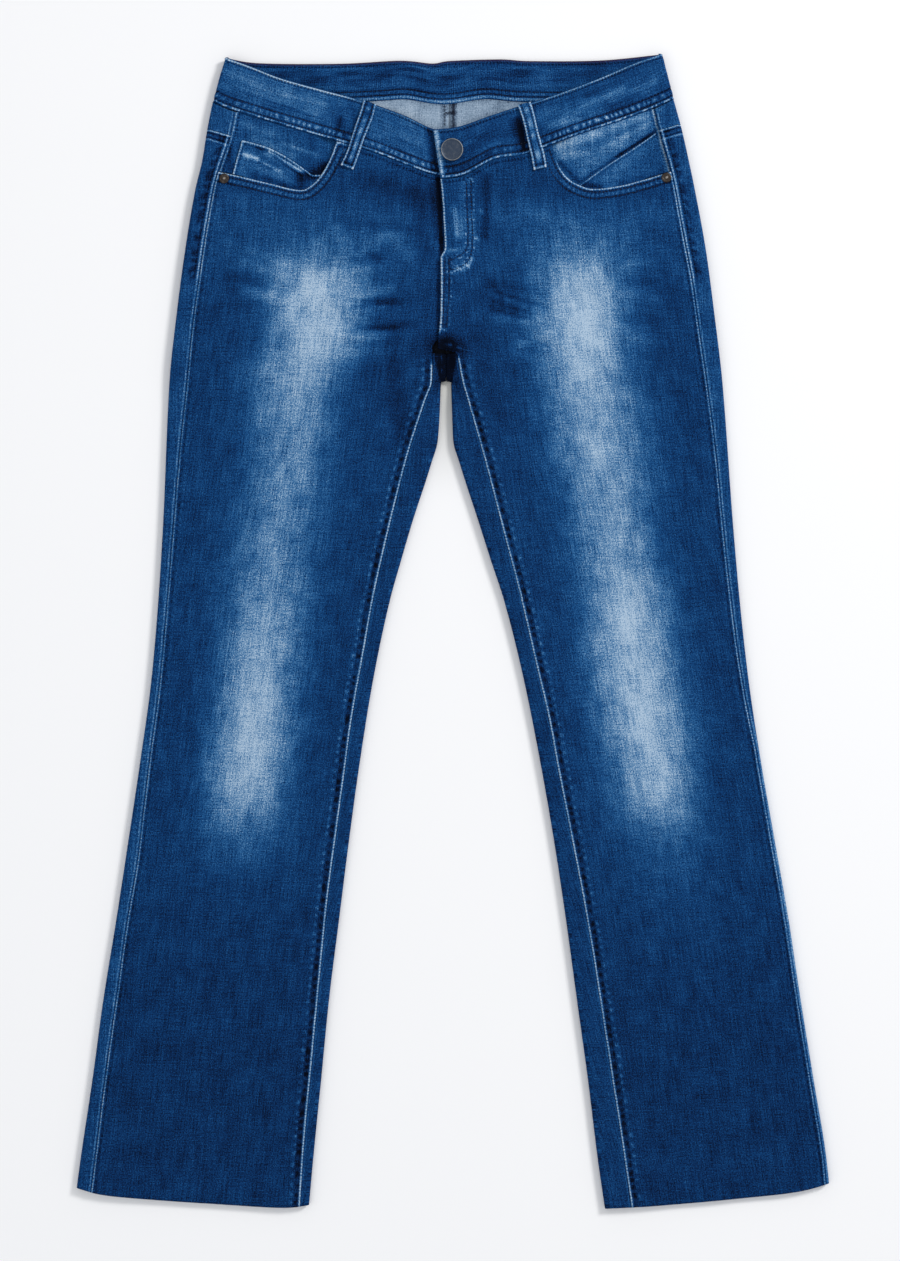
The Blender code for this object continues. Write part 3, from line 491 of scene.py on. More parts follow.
def section(side, y, column, counts):
    """Places of a back piece's columns, from the outseam round the side fold and the inner fold."""
    strip, fold, floor = counts
    low = back_level(y)
    turn = sign(side)
    edge, seam = SIDE.at(side, y) - turn * DENIM / 2, outseam(side, y) + turn * GAP / 2
    start = edge - turn * FOLD_RADIUS
    below = y < CROTCH_ROW + 0.5
    radius = mix(FOLD_RADIUS, CROTCH_FOLD_RADIUS, ease(195, SEAMS_MEET, y))
    inner = np.where(y >= SEAMS_MEET, back_centre(y) + turn * (GAP + DENIM) / 2,
                     INNER.at(side, y) + turn * DENIM / 2)
    inseam = INSEAM.at(side, y) - turn * mix(GAP / 2, 1.5 * GAP, ease(195, SEAMS_MEET, y))
    end = np.where(below, inner + turn * radius, back_centre(y) + turn * GAP / 2)
    on = [column <= strip, column <= strip + fold, column <= strip + fold + floor,
          column <= strip + 2 * fold + floor]
    angle = math.pi * np.clip((column - strip) / fold, 0, 1)
    round_again = math.pi * np.clip((column - strip - fold - floor) / fold, 0, 1)
    last = np.clip((column - strip - 2 * fold - floor) / strip, 0, 1)
    x = np.select(on, [
        mix(seam, start, column / strip), start + turn * FOLD_RADIUS * np.sin(angle),
        mix(start, end, (column - strip - fold) / floor),
        end - turn * radius * np.sin(round_again)], mix(end, inseam, last))
    top = low + FRONT_OVER_BACK
    z = np.select(on, [
        top, low + FOLD_RADIUS + FOLD_RADIUS * np.cos(angle), low,
        low + radius - radius * np.cos(round_again)],
        mix(low + 2 * radius, top, ease(0, 1, last)))
    closed = (~below) & (column > strip + fold + floor)
    return np.where(closed, end, x), np.where(closed, low, z)


def yoke_seam(side, column, counts):
    """Level of the yoke seam: it drops towards the back centre."""
    strip, fold, floor = counts
    outseam_level, side_level = YOKE_SEAM[side]
    share = np.clip((column - strip - fold) / floor, 0, 1)
    on_strip = mix(outseam_level, side_level, column / strip)
    return np.where(column <= strip, on_strip, mix(side_level, YOKE_CENTRE, share))


def facing_point(side, share, depth):
    """A place on the pocket facing: share along it from the outseam, depth below the band."""
    opening = pocket_opening(side)
    turn = sign(side)
    inset = turn * 2 * GAP
    start = outseam(side, 459.0) - inset
    high_x = mix(start, opening.at(1)[0] - turn * 6.0, share)
    high = np.stack((high_x, band_seam(side, high_x)), axis=-1)
    under = mix(0.009, 0.86, share)
    low = opening.at(under)
    away = np.abs(low[:, 0] - outseam(side, low[:, 1]))
    lap = mix(-3 * GAP, POCKET_UNDERLAP, ease(22, 45, away))
    low = low - turn * lap[:, None] * opening.across(under)
    place = mix(high, low, depth[:, None])
    straight = mix(start, outseam(side, low[:, 1]) - inset, depth)
    place[:, 0] += (outseam(side, place[:, 1]) - inset - straight) * (1 - share) ** 4
    return place


def facing_level(side, place, depth):
    """Height of the facing, which rises towards the outseam and the waistband."""
    away = np.abs(place[:, 0] - outseam(side, place[:, 1]))
    at_outseam = {"right": 3.0, "left": 1.5}[side] * (1 - ease(0, 20, away))
    end = pocket_opening(side).at(1)[0]
    past = np.where((end - place[:, 0]) * sign(side) < 0, np.abs(end - place[:, 0]), 0.0)
    at_band = 2.6 * (1 - ease(0.05, 0.55, depth)) * ease(4, 24, past)
    return FACING_LEVEL + np.maximum(at_outseam, at_band)


# Colours are the ones seen in the photograph, and a shader needs them as light, not as shown.
def shown(red, green, blue):
    return tuple(((v / 255 + 0.055) / 1.055) ** 2.4 if v > 10 else v / 255 / 12.92
                 for v in (red, green, blue))


# How worn and how shaded the cloth is, and its colour from the dark of a seam and of painted shadow to
# bare pale cotton.
WEAR_AND_SHADE_COLOURS = (
    (-0.30, shown(3, 8, 22)), (-0.15, shown(7, 24, 53)), (0.0, shown(10, 46, 93)),
    (0.15, shown(16, 66, 119)), (0.34, shown(36, 92, 147)), (0.56, shown(69, 121, 167)),
    (0.75, shown(104, 143, 181)), (0.90, shown(128, 161, 193)), (1.05, shown(150, 179, 207)),
    (1.20, shown(178, 200, 221)))


class Number:
    """A value in a shader. Arithmetic on it adds Math nodes."""

    def __init__(self, finish, socket):
        self.finish, self.socket = finish, socket

    def math(self, operation, *others):
        return self.finish.number("Math", dict(enumerate((self, *others))), operation=operation)

    def __add__(self, other):
        return self.math("ADD", other)

    def __sub__(self, other):
        return self.math("SUBTRACT", other)

    def __rsub__(self, other):
        return (self * -1.0).math("ADD", other)

    def __mul__(self, other):
        return self.math("MULTIPLY", other)

    def __truediv__(self, other):
        return self.math("DIVIDE", other)

    __radd__, __rmul__ = __add__, __mul__

    def step(self, low, high):
        """0 below low, 1 above high and a soft step between."""
        return self.finish.number("MapRange", {"Value": self, "From Min": low, "From Max": high},
                                  interpolation_type="SMOOTHSTEP")

    def near(self, middle, width):
        """1 at the middle and 0 from a width away."""
        away = (self - middle).math("ABSOLUTE") / width
        return (1.0 - away).math("MAXIMUM", 0.0).step(0.0, 1.0)

    def beads(self, pitch, drift=0.0):
        """0 to 1 and back for each pitch of length."""
        return (self * (2 * math.pi / pitch) + drift).math("SINE") * 0.5 + 0.5


class Finish:
    """A material, with one way to add each kind of node to it."""

    def __init__(self, name, roughness=0.9, metallic=0.0, specular=0.3, sheen=0.0):
        self.material = bpy.data.materials.new(name)
        self.material.use_nodes = True
        self.tree = self.material.node_tree
        self.shader = self.tree.nodes["Principled BSDF"]
        for socket, value in (("Roughness", roughness), ("Metallic", metallic),
                              ("Specular IOR Level", specular), ("Sheen Weight", sheen),
                              ("Sheen Roughness", 0.5)):
            self.shader.inputs[socket].default_value = value

    def node(self, kind, inputs=(), **settings):
        """A node with its settings, and then the values or links of its sockets."""
        made = self.tree.nodes.new("ShaderNode" + kind)
        for name, value in settings.items():
            setattr(made, name, value)
        for name, value in dict(inputs).items():
            self.join(value, made.inputs[name])
        return made

    def number(self, kind, inputs=(), output=0, **settings):
        return Number(self, self.node(kind, inputs, **settings).outputs[output])

    def join(self, value, target):
        if isinstance(value, Number):
            value = value.socket
        if isinstance(value, bpy.types.NodeSocket):
            self.tree.links.new(value, target)
        else:
            target.default_value = value

    def attribute(self, name):
        return self.number("Attribute", output="Fac", attribute_name=name)

    def read(self, names):
        """What the piece's points carry under these names."""
        return [self.attribute(name) for name in names.split()]

    def cloth(self):
        """The piece's own flat map, in millimetres across and along the cloth."""
        return self.node("UVMap", uv_map="cloth").outputs[0]

    def place(self):
        return self.node("TexCoord").outputs["Object"]

    def parts(self, vector):
        made = self.node("SeparateXYZ", {0: vector})
        return Number(self, made.outputs[0]), Number(self, made.outputs[1])

    def noise(self, vector, size, detail=2.0, roughness=0.55):
        """Uneven spots of this size, from about -0.3 to 0.3."""
        scale = (1 / size[0], 1 / size[1], 1.0)
        scaled = self.node("Mapping", {"Vector": vector, "Scale": scale}).outputs[0]
        return self.number("TexNoise", {"Vector": scaled, "Scale": 1.0, "Detail": detail,
                                        "Roughness": roughness}, noise_dimensions="2D") - 0.5

    def ramp(self, value, stops):
        low, high = stops[0][0], stops[-1][0]
        made = self.node("ValToRGB", {0: (value - low) / (high - low)})
        elements = made.color_ramp.elements
        while len(elements) < len(stops):
            elements.new(1.0)
        for element, (place, colour) in zip(elements, stops):
            element.position = (place - low) / (high - low)
            element.color = (*colour, 1.0)
        return made.outputs[0]

    def blend(self, share, a, b):
        a, b = ((*value, 1.0) if isinstance(value, tuple) else value for value in (a, b))
        return self.node("Mix", {0: share, 6: a, 7: b}, data_type="RGBA").outputs[2]

    def done(self, colour, height=None, roughness=None):
        """Joins what varies to the shader. Height is in millimetres."""
        self.join(colour, self.shader.inputs["Base Color"])
        if roughness is not None:
            self.join(roughness, self.shader.inputs["Roughness"])
        if height is not None:
            bump = self.node("Bump", {"Strength": 1.0, "Distance": 0.001, "Height": height})
            self.join(bump.outputs[0], self.shader.inputs["Normal"])
        return self.material


def seam_look(distance, along, drift, line, groove=None, puff=None, pitch=PUCKER_PITCH):
    """A seam's worn line, the dark of its puckers and the pale tops between, with their relief.

    Line, groove and puff are each a strength, a distance from the seam and a half width.
    """
    wave = along.beads(pitch, drift)
    strength, at, width = line
    near = distance.near(at, width)
    worn = near * (along.beads(2.7, drift * 0.7) * 0.5 + 0.7) * strength
    high = near * 0.12
    if groove:
        strength, at, width = groove
        dip = distance.near(at, width * 1.25) * (wave * 0.80 + 0.20)
        worn, high = worn - dip * strength, high - dip * 0.35
    if puff:
        strength, at, width = puff
        top = distance.near(at, width) * wave * wave
        worn, high = worn + top * strength, high + top * 0.3
    return worn, high


def denim(name, seams, tint=None):
    """Right side of the cloth. seams(finish, y, drift) adds what the piece's seams show."""
    finish = Finish(name, roughness=0.9, specular=0.05)
    cloth = finish.cloth()
    x, y = finish.parts(cloth)
    drift = finish.noise(cloth, (26.0, 26.0), 1.0) * 9.0
    # The points carry their wear and their painted shade as one value.
    worn = finish.attribute("wear_and_shade")
    extra, high = seams(finish, y, drift)
    clouds = finish.noise(cloth, (15.0, 24.0), 4.0, 0.6)
    worn = worn + clouds * (worn.step(0.02, 0.55) * 0.55 + 0.22) + extra
    speckle = finish.noise(cloth, (1.0, 1.2), 3.0, 0.7)
    down = finish.noise(cloth, (1.1, 30.0), 2.0, 0.6)
    across = finish.noise(cloth, (22.0, 1.1), 2.0, 0.6)
    loud = worn.step(-0.05, 0.6) * 1.4 + 0.95
    worn = worn + speckle * (loud * 1.12) + down * (loud * 0.36) + across * (loud * 0.24)
    twill = ((x + y) * (2 * math.pi / 1.25)).math("SINE")
    worn = worn + twill * 0.012
    colour = finish.ramp(worn, WEAR_AND_SHADE_COLOURS)
    if tint:
        colour = finish.blend(finish.attribute(tint[0]), colour, shown(*tint[1]))
    creases = finish.noise(cloth, (11.0, 15.0), 2.0, 0.5) * 0.55
    high = high + creases + speckle * 0.22 + twill * 0.03 + down * 0.10
    return finish.done(colour, high, 0.93 - worn.step(-0.1, 1.0) * 0.10)


def wrong_side():
    """The pale inside of the cloth, with its weave."""
    finish = Finish("denim_wrong_side", roughness=0.92, specular=0.2, sheen=0.05)
    cloth = finish.cloth()
    x, y = finish.parts(cloth)
    twill = ((x - y) * (2 * math.pi / 1.3)).math("SINE")
    speckle = finish.noise(cloth, (1.1, 1.3), 3.0, 0.7)
    down, across = (finish.noise(cloth, size, 2.0, 0.6) for size in ((1.0, 14.0), (14.0, 1.0)))
    clouds = finish.noise(cloth, (16.0, 20.0), 3.0)
    tone = speckle * 1.8 + 0.40 + (down + across) * 0.6 + clouds * 0.8 + twill * 0.05
    colour = finish.ramp(tone - finish.attribute("shade"), (
        (-1.0, shown(6, 10, 22)), (-0.4, shown(44, 58, 80)), (0.0, shown(104, 126, 150)),
        (0.5, shown(146, 167, 189)), (1.0, shown(184, 200, 215))))
    return finish.done(colour, speckle * 0.2 + twill * 0.04)


def front_seams(finish, y, drift):
    outer, inner, upper, around = finish.read("outer inner upper around")
    outer_line, inner_line, upper_line = finish.read("outer_line inner_line upper_line")
    patchy = finish.noise(finish.cloth(), (9.0, 13.0), 2.0)
    pucker = finish.attribute("pucker") * (patchy * 2.2 + 1.0)
    looks = (
        seam_look(outer, y, drift, (outer_line, 0.4, 1.2), (0.14, 2.8, 1.6), (0.08, 5.5, 2.5), 6.5),
        seam_look(inner, y, drift, (inner_line, 0.5, 1.5), (pucker * 0.29, 4.2, 3.2),
                  (pucker * 0.24, 8.2, 3.2)),
        seam_look(upper, around, drift, (upper_line, 0.5, 1.5), (0.26, 2.8, 1.4),
                  pitch=STITCH_PITCH))
    rows, row, run = finish.read("topstitched row row_along")
    sewn = row.near(0.0, 1.5) * (run.beads(STITCH_PITCH, drift) * 0.6 + 0.4)
    specks = row.near(2.0, 1.3) * run.beads(6.3, drift * 1.6) * run.beads(4.1, drift)
    second = rows * upper.near(8.2, 1.7) * (around.beads(STITCH_PITCH, drift) * 0.5 + 0.5)
    between = rows * upper.near(5.6, 2.4) * around.beads(3.7, drift * 1.3)
    worn, high = (a + b + c for a, b, c in zip(*looks))
    return (worn - second * 0.32 + between * 0.26 - sewn * 0.36 + specks * 0.50,
            high - second * 0.25 + between * 0.15 - sewn * 0.3)


def back_seams(finish, y, drift):
    outer, inner, sewn, felled, centre = finish.read("outer inner topstitched felled centre")
    a = seam_look(outer, y, drift * 1.3, (sewn * 0.35 + 0.34, 2.5, 1.2), (0.16, 0.8, 0.7),
                  (0.10, 6.0, 2.6), 5.3)
    b = seam_look(inner, y, drift, (0.10, 1.6, 1.5))
    row = outer.near(5.4, 1.8) * (y.beads(3.2, drift) * 0.4 + 0.6) * sewn
    blotch = outer.near(8.0, 4.5) * y.beads(11.0, drift * 1.8) * sewn
    upper_groove = felled.near(2.6, 1.4)
    lines = felled.near(0.6, 1.3) * 0.75 + felled.near(8.4, 1.3) * 0.5 - upper_groove * 0.25
    lines = lines - felled.near(6.6, 1.4) * 0.25 + centre.near(0.8, 1.2) * 0.55
    lines = lines - (centre.near(2.8, 1.5) + centre.near(8.8, 1.5)) * 0.28
    lines = lines + centre.near(5.8, 2.2) * y.beads(6.1, drift) * 0.22
    return (a[0] + b[0] + lines - row * 0.30 - blotch * 0.26,
            a[1] + b[1] - row * 0.25 - upper_groove * 0.3)


def band_seams(finish, y, drift):
    low, high, face, low_line, high_line = finish.read("low high face low_line high_line")
    mottle, lap, inside = finish.read("mottle lap inside")
    a = seam_look(low, y, drift, (low_line, 1.4, 1.5))
    b = seam_look(high, y, drift, (high_line, 1.5, 1.5), (0.26, 3.4, 1.0), pitch=STITCH_PITCH)
    stitches = (low.near(3.4, 1.4) + low.near(10.0, 1.6)) * (y.beads(STITCH_PITCH, drift) * 0.5 + 0.5)
    patchy = finish.noise(finish.cloth(), (12.0, 9.0), 2.0)
    between = low.near(6.7, 3.2) * y.beads(5.6, drift * 1.9) * (patchy * 2.6 + 1.0)
    lap = lap.near(1.9, 4.4) * (low.beads(5.0, drift) * 0.3 + 0.7)
    worn = a[0] + b[0] - stitches * 0.34 + between * mottle * 1.5 + lap * 0.95
    return (worn + inside * y.beads(1.9) * 0.10,
            a[1] + b[1] - stitches * 0.25 + between * 0.25 * face)


def edge_seams(line, first=2.2, second=None, groove=0.18, line_width=1.5):
    """A folded edge's worn line and one or two rows of stitches beside it."""
    def seams(finish, y, drift):
        edge, along = finish.read("edge along")
        worn, high = seam_look(edge, along, drift, (line, 0.4, line_width), (groove, first, 1.2),
                               pitch=3.0)
        if second is None:
            return worn, high
        row = edge.near(second, 1.5) * (along.beads(3.0, drift) * 0.5 + 0.5)
        return worn - row * groove, high - row * 0.25
    return seams


def sheet(name, columns, rows, place, finishes, wall=DENIM, flip=False, missing=None):
    """A sheet of cloth: place() gives for grid shares the spots and what the finish reads."""
    bm = bmesh.new()
    bmesh.ops.create_grid(bm, x_segments=columns, y_segments=rows, size=0.5)
    if missing:
        gone = [f for f in bm.faces
                if missing(f.calc_center_median().x + 0.5, 0.5 - f.calc_center_median().y)]
        bmesh.ops.delete(bm, geom=gone, context="FACES")
    if flip:
        bmesh.ops.reverse_faces(bm, faces=bm.faces)
    piece = placed(name, bm, lambda where: place(where[:, 0] + 0.5, 0.5 - where[:, 1]), finishes)
    solid = piece.modifiers.new("wall", "SOLIDIFY")
    solid.thickness = wall * 0.001
    solid.offset = 0
    solid.material_offset = len(finishes) - 1
    return piece


def placed(name, bm, place, finishes):
    """A piece from a bmesh, its points moved to their places and its looks kept on them.

    Of its looks, across and down are its flat map. Each piece starts its map somewhere else, so
    that no two have the same grain.
    """
    mesh = bpy.data.meshes.new(name)
    bm.to_mesh(mesh)
    bm.free()
    where = np.empty(len(mesh.vertices) * 3)
    mesh.vertices.foreach_get("co", where)
    spots, looks = place(where.reshape(-1, 3))
    mesh.vertices.foreach_set("co", in_metres(spots).ravel())
    flat = np.stack((looks.pop("across"), looks.pop("down")), axis=-1)
    corner = np.empty(len(mesh.loops), np.int32)
    mesh.loops.foreach_get("vertex_index", corner)
    mesh.uv_layers.new(name="cloth").data.foreach_set("uv", flat[corner].astype(np.float32).ravel())
    for key, values in looks.items():
        values = np.broadcast_to(np.asarray(values, np.float32), (len(mesh.vertices),))
        mesh.attributes.new(key, "FLOAT", "POINT").data.foreach_set("value", np.array(values))
    for finish in finishes:
        mesh.materials.append(finish)
    mesh.update()
    mesh.shade_smooth()
    piece = bpy.data.objects.new(name, mesh)
    bpy.context.scene.collection.objects.link(piece)
    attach(piece, "root")
    return piece


def stack(x, y, z):
    x, y, z = np.broadcast_arrays(x, y, z)
    return np.stack((x, y, z), axis=-1).astype(float)


# Rows of stitches on the left front: two round the fly, and two from it to the crotch.
FLY_ROWS = [Edge(points) for points in (
    ((12.6, 399), (13.4, 370), (14.2, 348), (12.0, 337), (4.0, 331), (-5.0, 327)),
    ((16.6, 399), (17.4, 370), (18.0, 345), (15.6, 330), (8.0, 323), (-2.0, 319.5)),
    ((-6.9, 331), (-7.1, 300), (-8.0, 268)), ((-2.4, 331), (-2.8, 300), (-4.6, 268)))]


def to_hem(side, level, x):
    """How far the curve of the hem moves a place that lies near it."""
    share = np.clip((HEM_SHIFT_STARTS - level) / (HEM_SHIFT_STARTS - HEM_ROW), 0, 1)
    return share * (HEM[side].y_at(x) - HEM_ROW)


def nearest_of(edges, x, y):
    """Distance to the nearest of a few lines, and how far along it that is."""
    every = [edge.nearest(x, y) for edge in edges]
    away = np.stack([one[0] for one in every])
    along = np.stack([one[1] for one in every])
    best = away.argmin(axis=0), np.arange(len(x))
    return away[best], along[best]


def front(side):
    opening = pocket_opening(side)
    corner = opening.at(1)[0]
    edge = front_top_edge(side)
    turn = sign(side)

    def place(c, r):
        on_opening = c <= OPENING_SHARE + 1e-6
        a = opening.at(np.minimum(c / OPENING_SHARE, 1))
        band_x = mix(corner, front_end(side, FLY_TOP), (c - OPENING_SHARE) / (1 - OPENING_SHARE))
        top_x = np.where(on_opening, a[:, 0], band_x)
        under_band = 0.5 * ease(OPENING_SHARE - 0.04, OPENING_SHARE + 0.02, c)
        top_y = np.where(on_opening, a[:, 1], band_seam(side, band_x)) + under_band
        level = mix(RIVET_ROW, HEM_ROW, r)
        high = ease(TOP_SHIFT_ENDS, RIVET_ROW, level)
        y = level + high * (top_y - RIVET_ROW)
        y = y + to_hem(side, level, mix(outseam(side, level), front_end(side, level), c))
        over = turn * 0.45
        outer = outseam(side, y) + over
        inner = front_end(side, y) - over * (1 - ease(238, 262, y))
        top_outer = outseam(side, top_y) + over
        at_top = (top_x - top_outer) / (front_end(side, top_y) - top_outer)
        at_top = np.where((c < 1e-6) | (c > 1 - 1e-6), c, at_top)
        x = mix(outer, inner, mix(c, at_top, high))
        d_outer, d_inner = np.abs(x - outer), np.abs(x - inner)
        d_upper, around = edge.nearest(x, y)
        away = (d_outer, d_inner, d_upper)
        z = front_level(side, x, y) + front_relief(side, x, y, away)
        fade = FADE[side]
        aside = x - fade.at("middle", y)
        half = np.where(aside < 0, fade.at("left", y), fade.at("right", y))
        # painted() adds whiskers and clouds, and painted shadows such as the one beside the fly.
        wear_and_shade = TONE.at("front", y) + painted(side, x, y)
        wear_and_shade = wear_and_shade + 1.05 * fade.at("worn", y) * np.exp(-np.abs(aside / half) ** 2.2)
        # Painted shade in the crotch, where the two fronts meet below the fly.
        crotch = hump(np.hypot((x + 5) / 14, (y - 252) / 9), 0, 1.0)
        wear_and_shade = wear_and_shade - 0.52 * crotch
        if side == "right":
            dark, row, run = ease(234, 240, y), FAR, y
        else:
            dark = ease(241, 245, y) * (1 - ease(262, 267, y))
            row, run = nearest_of(FLY_ROWS, x, y)
        looks = {
            "across": x - AXIS.at(side, y), "down": y + (0.0 if side == "right" else 3000.0),
            "wear_and_shade": wear_and_shade, "outer": d_outer, "inner": d_inner, "upper": d_upper, "around": around,
            "outer_line": LINE.at(side + "_outseam", y),
            "inner_line": LINE.at("inner", y) * (1 - dark),
            "pucker": (1 - ease(232, 246, y)), "row": row, "row_along": run,
            "upper_line": 0.95 * ease(88, 100, np.abs(x)),
            "topstitched": ease(88, 100, np.abs(x)) * ease(370, 385, y),
            "shade": 0.0,
        }
        return stack(x, y, z), looks

    return sheet(f"front_panel_{side}", 120, 300, place, (front_denim, pale_inside),
                 flip=side == "left")


def back(side):
    counts = (8, 10, 46)
    strip, fold, floor = counts
    columns = 2 * strip + 2 * fold + floor
    rows, rows_above = 300, 66
    inner_fold = strip + fold + floor
    top_level, turn = YOKE_SEAM[side][0], sign(side)

    def place(c, r):
        column = np.round(c * columns)
        row = r * rows
        level = np.interp(row, (0, rows_above - 1, rows_above, rows_above + 7, rows_above + 8, rows),
                          (top_level, CROTCH_ROW + 0.55, CROTCH_ROW, SEAMS_MEET + 0.03, 221.4, HEM_ROW))
        shift = ease(TOP_SHIFT_ENDS, top_level, level)
        y = level + shift * (yoke_seam(side, column, counts) - top_level) - 0.15 * (r < 1e-6)
        y = y + to_hem(side, level, section(side, y, column, counts)[0])
        x, z = section(side, y, column, counts)
        # Brings the two backs closer at the crotch than their solids are.
        x = x - np.where(column >= inner_fold, 0.13 * turn * ease(221, 222.1, y), 0.0)
        outer = np.where(column <= strip + fold, np.abs(x - outseam(side, y)), FAR)
        inner = np.where(column > inner_fold, np.abs(x - INSEAM.at(side, y)), FAR)
        on_strip = column <= strip + fold / 2
        underneath = (column > strip + fold) & (column < inner_fold)
        creased = painted("under", -np.abs(x), y + 7 * turn)
        wave = 0.25 * ripple(x, y, 40, 31, 1.6) + 0.25 - 1.6 * creased
        z = z + np.where(underneath, np.clip(wave, 0, 0.9) * hump(z, 0, 6), 0.0)
        pucker = np.sin(2 * math.pi * y / PUCKER_PITCH + 1.0) * 0.12
        z = z + np.where(column > inner_fold + fold, pucker, 0)
        centre = back_centre(y)
        leg_middle = mix(outseam(side, y), np.where(y < SEAMS_MEET, INNER.at(side, y), centre), 0.5)
        seat = 0.34 * hump(y, 300, 70) + 0.16 * hump(y, -60, 120)
        under_wear = 0.10 + seat * hump(x, leg_middle, 62) + creased
        round_fold = ease(strip + 0.3 * fold, strip + fold, column)
        wear_and_shade = mix(TONE.at(f"{side}_strip", y), under_wear, round_fold)
        wear_and_shade = np.where(column > inner_fold, 0.03, wear_and_shade)
        # Painted shade in the dark place where four seams meet, deepening along the inner strips towards
        # it, with two rows of stitches that just show.
        half = 5.6 + 0.21 * (y - 223)
        dark = (1 - ease(half - 0.8, half + 1.2, np.abs(x + 5.3))) * (inner < FAR - 1)
        beads = (hump(x, -12.8, 0.6) + hump(x, -9.2, 0.6)) * (0.5 + 0.5 * np.sin(2 * math.pi * y / 2.6))
        wear_and_shade = wear_and_shade - 0.12 * ease(190, 222, y) * (inner < FAR - 1)
        wear_and_shade = wear_and_shade + dark * (0.50 * beads * ease(226, 232, y) - 0.30 * ease(219, 222, y))
        start = np.abs(SIDE.at(side, y)) - DENIM / 2 - FOLD_RADIUS
        beside = np.where(column <= strip, start - np.abs(x), 0.0)
        beside = np.where(column > strip + fold, np.abs(x) - start, beside)
        turned_by = np.clip((column - strip) / fold, 0, 1) + np.clip((column - inner_fold) / fold, 0, 1)
        grain = beside - start - math.pi * FOLD_RADIUS * turned_by
        looks = {
            "across": grain, "down": y + 700 * turn, "wear_and_shade": wear_and_shade, "outer": outer, "inner": inner,
            "topstitched": ease(308, 316, y) * on_strip, "shade": 1.6 * (1 - ease(268, 300, y)),
            "felled": np.where(on_strip | underneath, yoke_seam(side, column, counts) - y, FAR),
            "centre": np.where(underneath & (y > SEAMS_MEET), np.abs(x - centre), FAR),
        }
        return stack(x, y, z), looks

    return sheet(f"back_panel_{side}", columns, rows, place, (back_denim, pale_inside),
                 flip=side == "right",
                 missing=lambda c, r: c > inner_fold / columns and r < rows_above / rows)


def yoke(side):
    counts = (8, 10, 50)
    strip, fold, floor = counts
    columns = strip + fold + floor

    def place(c, r):
        column = np.round(c * columns)
        across, edge_x, fold_x = (
            section(side, np.full_like(c, 466.0), at, counts)[0]
            for at in (column, np.full_like(c, float(strip)), np.maximum(column, strip + fold)))
        behind = BAND_EDGES["back bottom"].y_at(fold_x) + 3.0
        share = np.clip((column - strip) / fold, 0, 1)
        high = np.where(column <= strip, band_seam(side, across),
                        mix(band_seam(side, edge_x), behind, share))
        y = mix(high, yoke_seam(side, column, counts) + 0.1, r)
        x, z = section(side, y, column, counts)
        z = z + np.where(column > strip + fold, 0.3 * ripple(x, y, 30, 41) * ease(0, 20, high - y), 0)
        # The dark of the felled centre seam and of the bar across it.
        shade = 1.15 * sum(hump(x, row, 0.9) for row in YOKE_ROWS) - 0.3 * hump(x, 2.9, 0.9)
        shade = shade + 1.1 * hump(y, YOKE_BAR, 0.8) * ease(-7, -6, x) * (1 - ease(1, 2, x))
        # Painted shade just below the waistband's lower edge, and darker towards the sides and towards
        # +x.
        shade = shade + 0.3 * hump(high - y, 0, 5) + 0.2 * ease(60, 100, np.abs(x + 4))
        shade = shade + 0.18 * ease(8, 30, x)
        looks = {
            "across": x, "down": y - 900.0, "wear_and_shade": np.full_like(x, 0.16),
            "outer": np.where(column <= strip + fold, np.abs(x - outseam(side, y)), FAR),
            "inner": FAR, "topstitched": 0.0, "shade": shade, "felled": FAR,
            "centre": np.abs(x - back_centre(y)),
        }
        return stack(x, y, z), looks

    return sheet(f"yoke_panel_{side}", columns, 24, place, (back_denim, pale_inside),
                 flip=side == "right")


def facing(side):
    turn = sign(side)
    inset, tone, seed = {"right": (1.05, 0.13, 51), "left": (1.6, 0.29, 52)}[side]

    def place(c, r):
        spot = facing_point(side, c, r)
        spot[:, 1] += 3.0 * (1 - ease(0, 0.12, r)) * ease(0.0, 0.08, c)
        spot[:, 0] += turn * inset * (1 - ease(0, 0.05, c))
        x, y = spot[:, 0], spot[:, 1]
        z = facing_level(side, spot, r) + 0.25 * ripple(x, y, 26, seed)
        # painted() lays pale rubs and painted shadows, such as the one in the pocket opening.
        wear_and_shade = tone + painted("facing " + side, x, y)
        outer = np.abs(x - outseam(side, y)) - 0.6
        return stack(x, y, z), {
            "across": x, "down": y + 1500.0, "wear_and_shade": wear_and_shade, "edge": outer, "along": y, "shade": 0.5}

    return sheet(f"facing_cloth_{side}", 70, 40, place, (plain_denim, pale_inside),
                 flip=side == "left")


def on_facing(name, side, shares, upper_edge, columns, rows, look, where, tone):
    """A piece sewn on the facing, made from the facing's points moved up."""
    fold_line = Edge(upper_edge)

    def place(c, r):
        share = mix(*shares, c)
        top_depth = np.full_like(c, 0.4)
        for _ in range(12):
            tried = facing_point(side, share, top_depth)
            top_depth = top_depth + (tried[:, 1] - fold_line.y_at(tried[:, 0])) / 90
        depth = mix(top_depth, 1.0, r)
        spot = facing_point(side, share, depth)
        start = facing_point(side, share, top_depth)
        x, y = spot[:, 0], spot[:, 1]
        top = np.hypot(x - start[:, 0], y - start[:, 1])
        outer = np.abs(x - facing_point(side, np.full_like(share, shares[0]), depth)[:, 0])
        z = facing_level(side, spot, depth) + LAID_ON + 0.2 * ripple(x, y, 22, 61)
        z = z + 0.35 * (1 - ease(0.5, 4.5, top)) - 0.2 * hump(top, 3, 0.8)
        # painted() lays pale rubs and painted shadows, such as the one at the pocket opening.
        worn = tone + painted(where, x, y)
        edge = np.minimum(top, outer) if side == "right" else top
        along = np.where(top < outer, x, y)
        return stack(x, y, z), {
            "across": x, "down": y + 1900.0, "wear_and_shade": worn, "edge": edge, "along": along, "shade": 0.5}

    return sheet(name, columns, rows, place, (look, pale_inside), flip=side == "left")


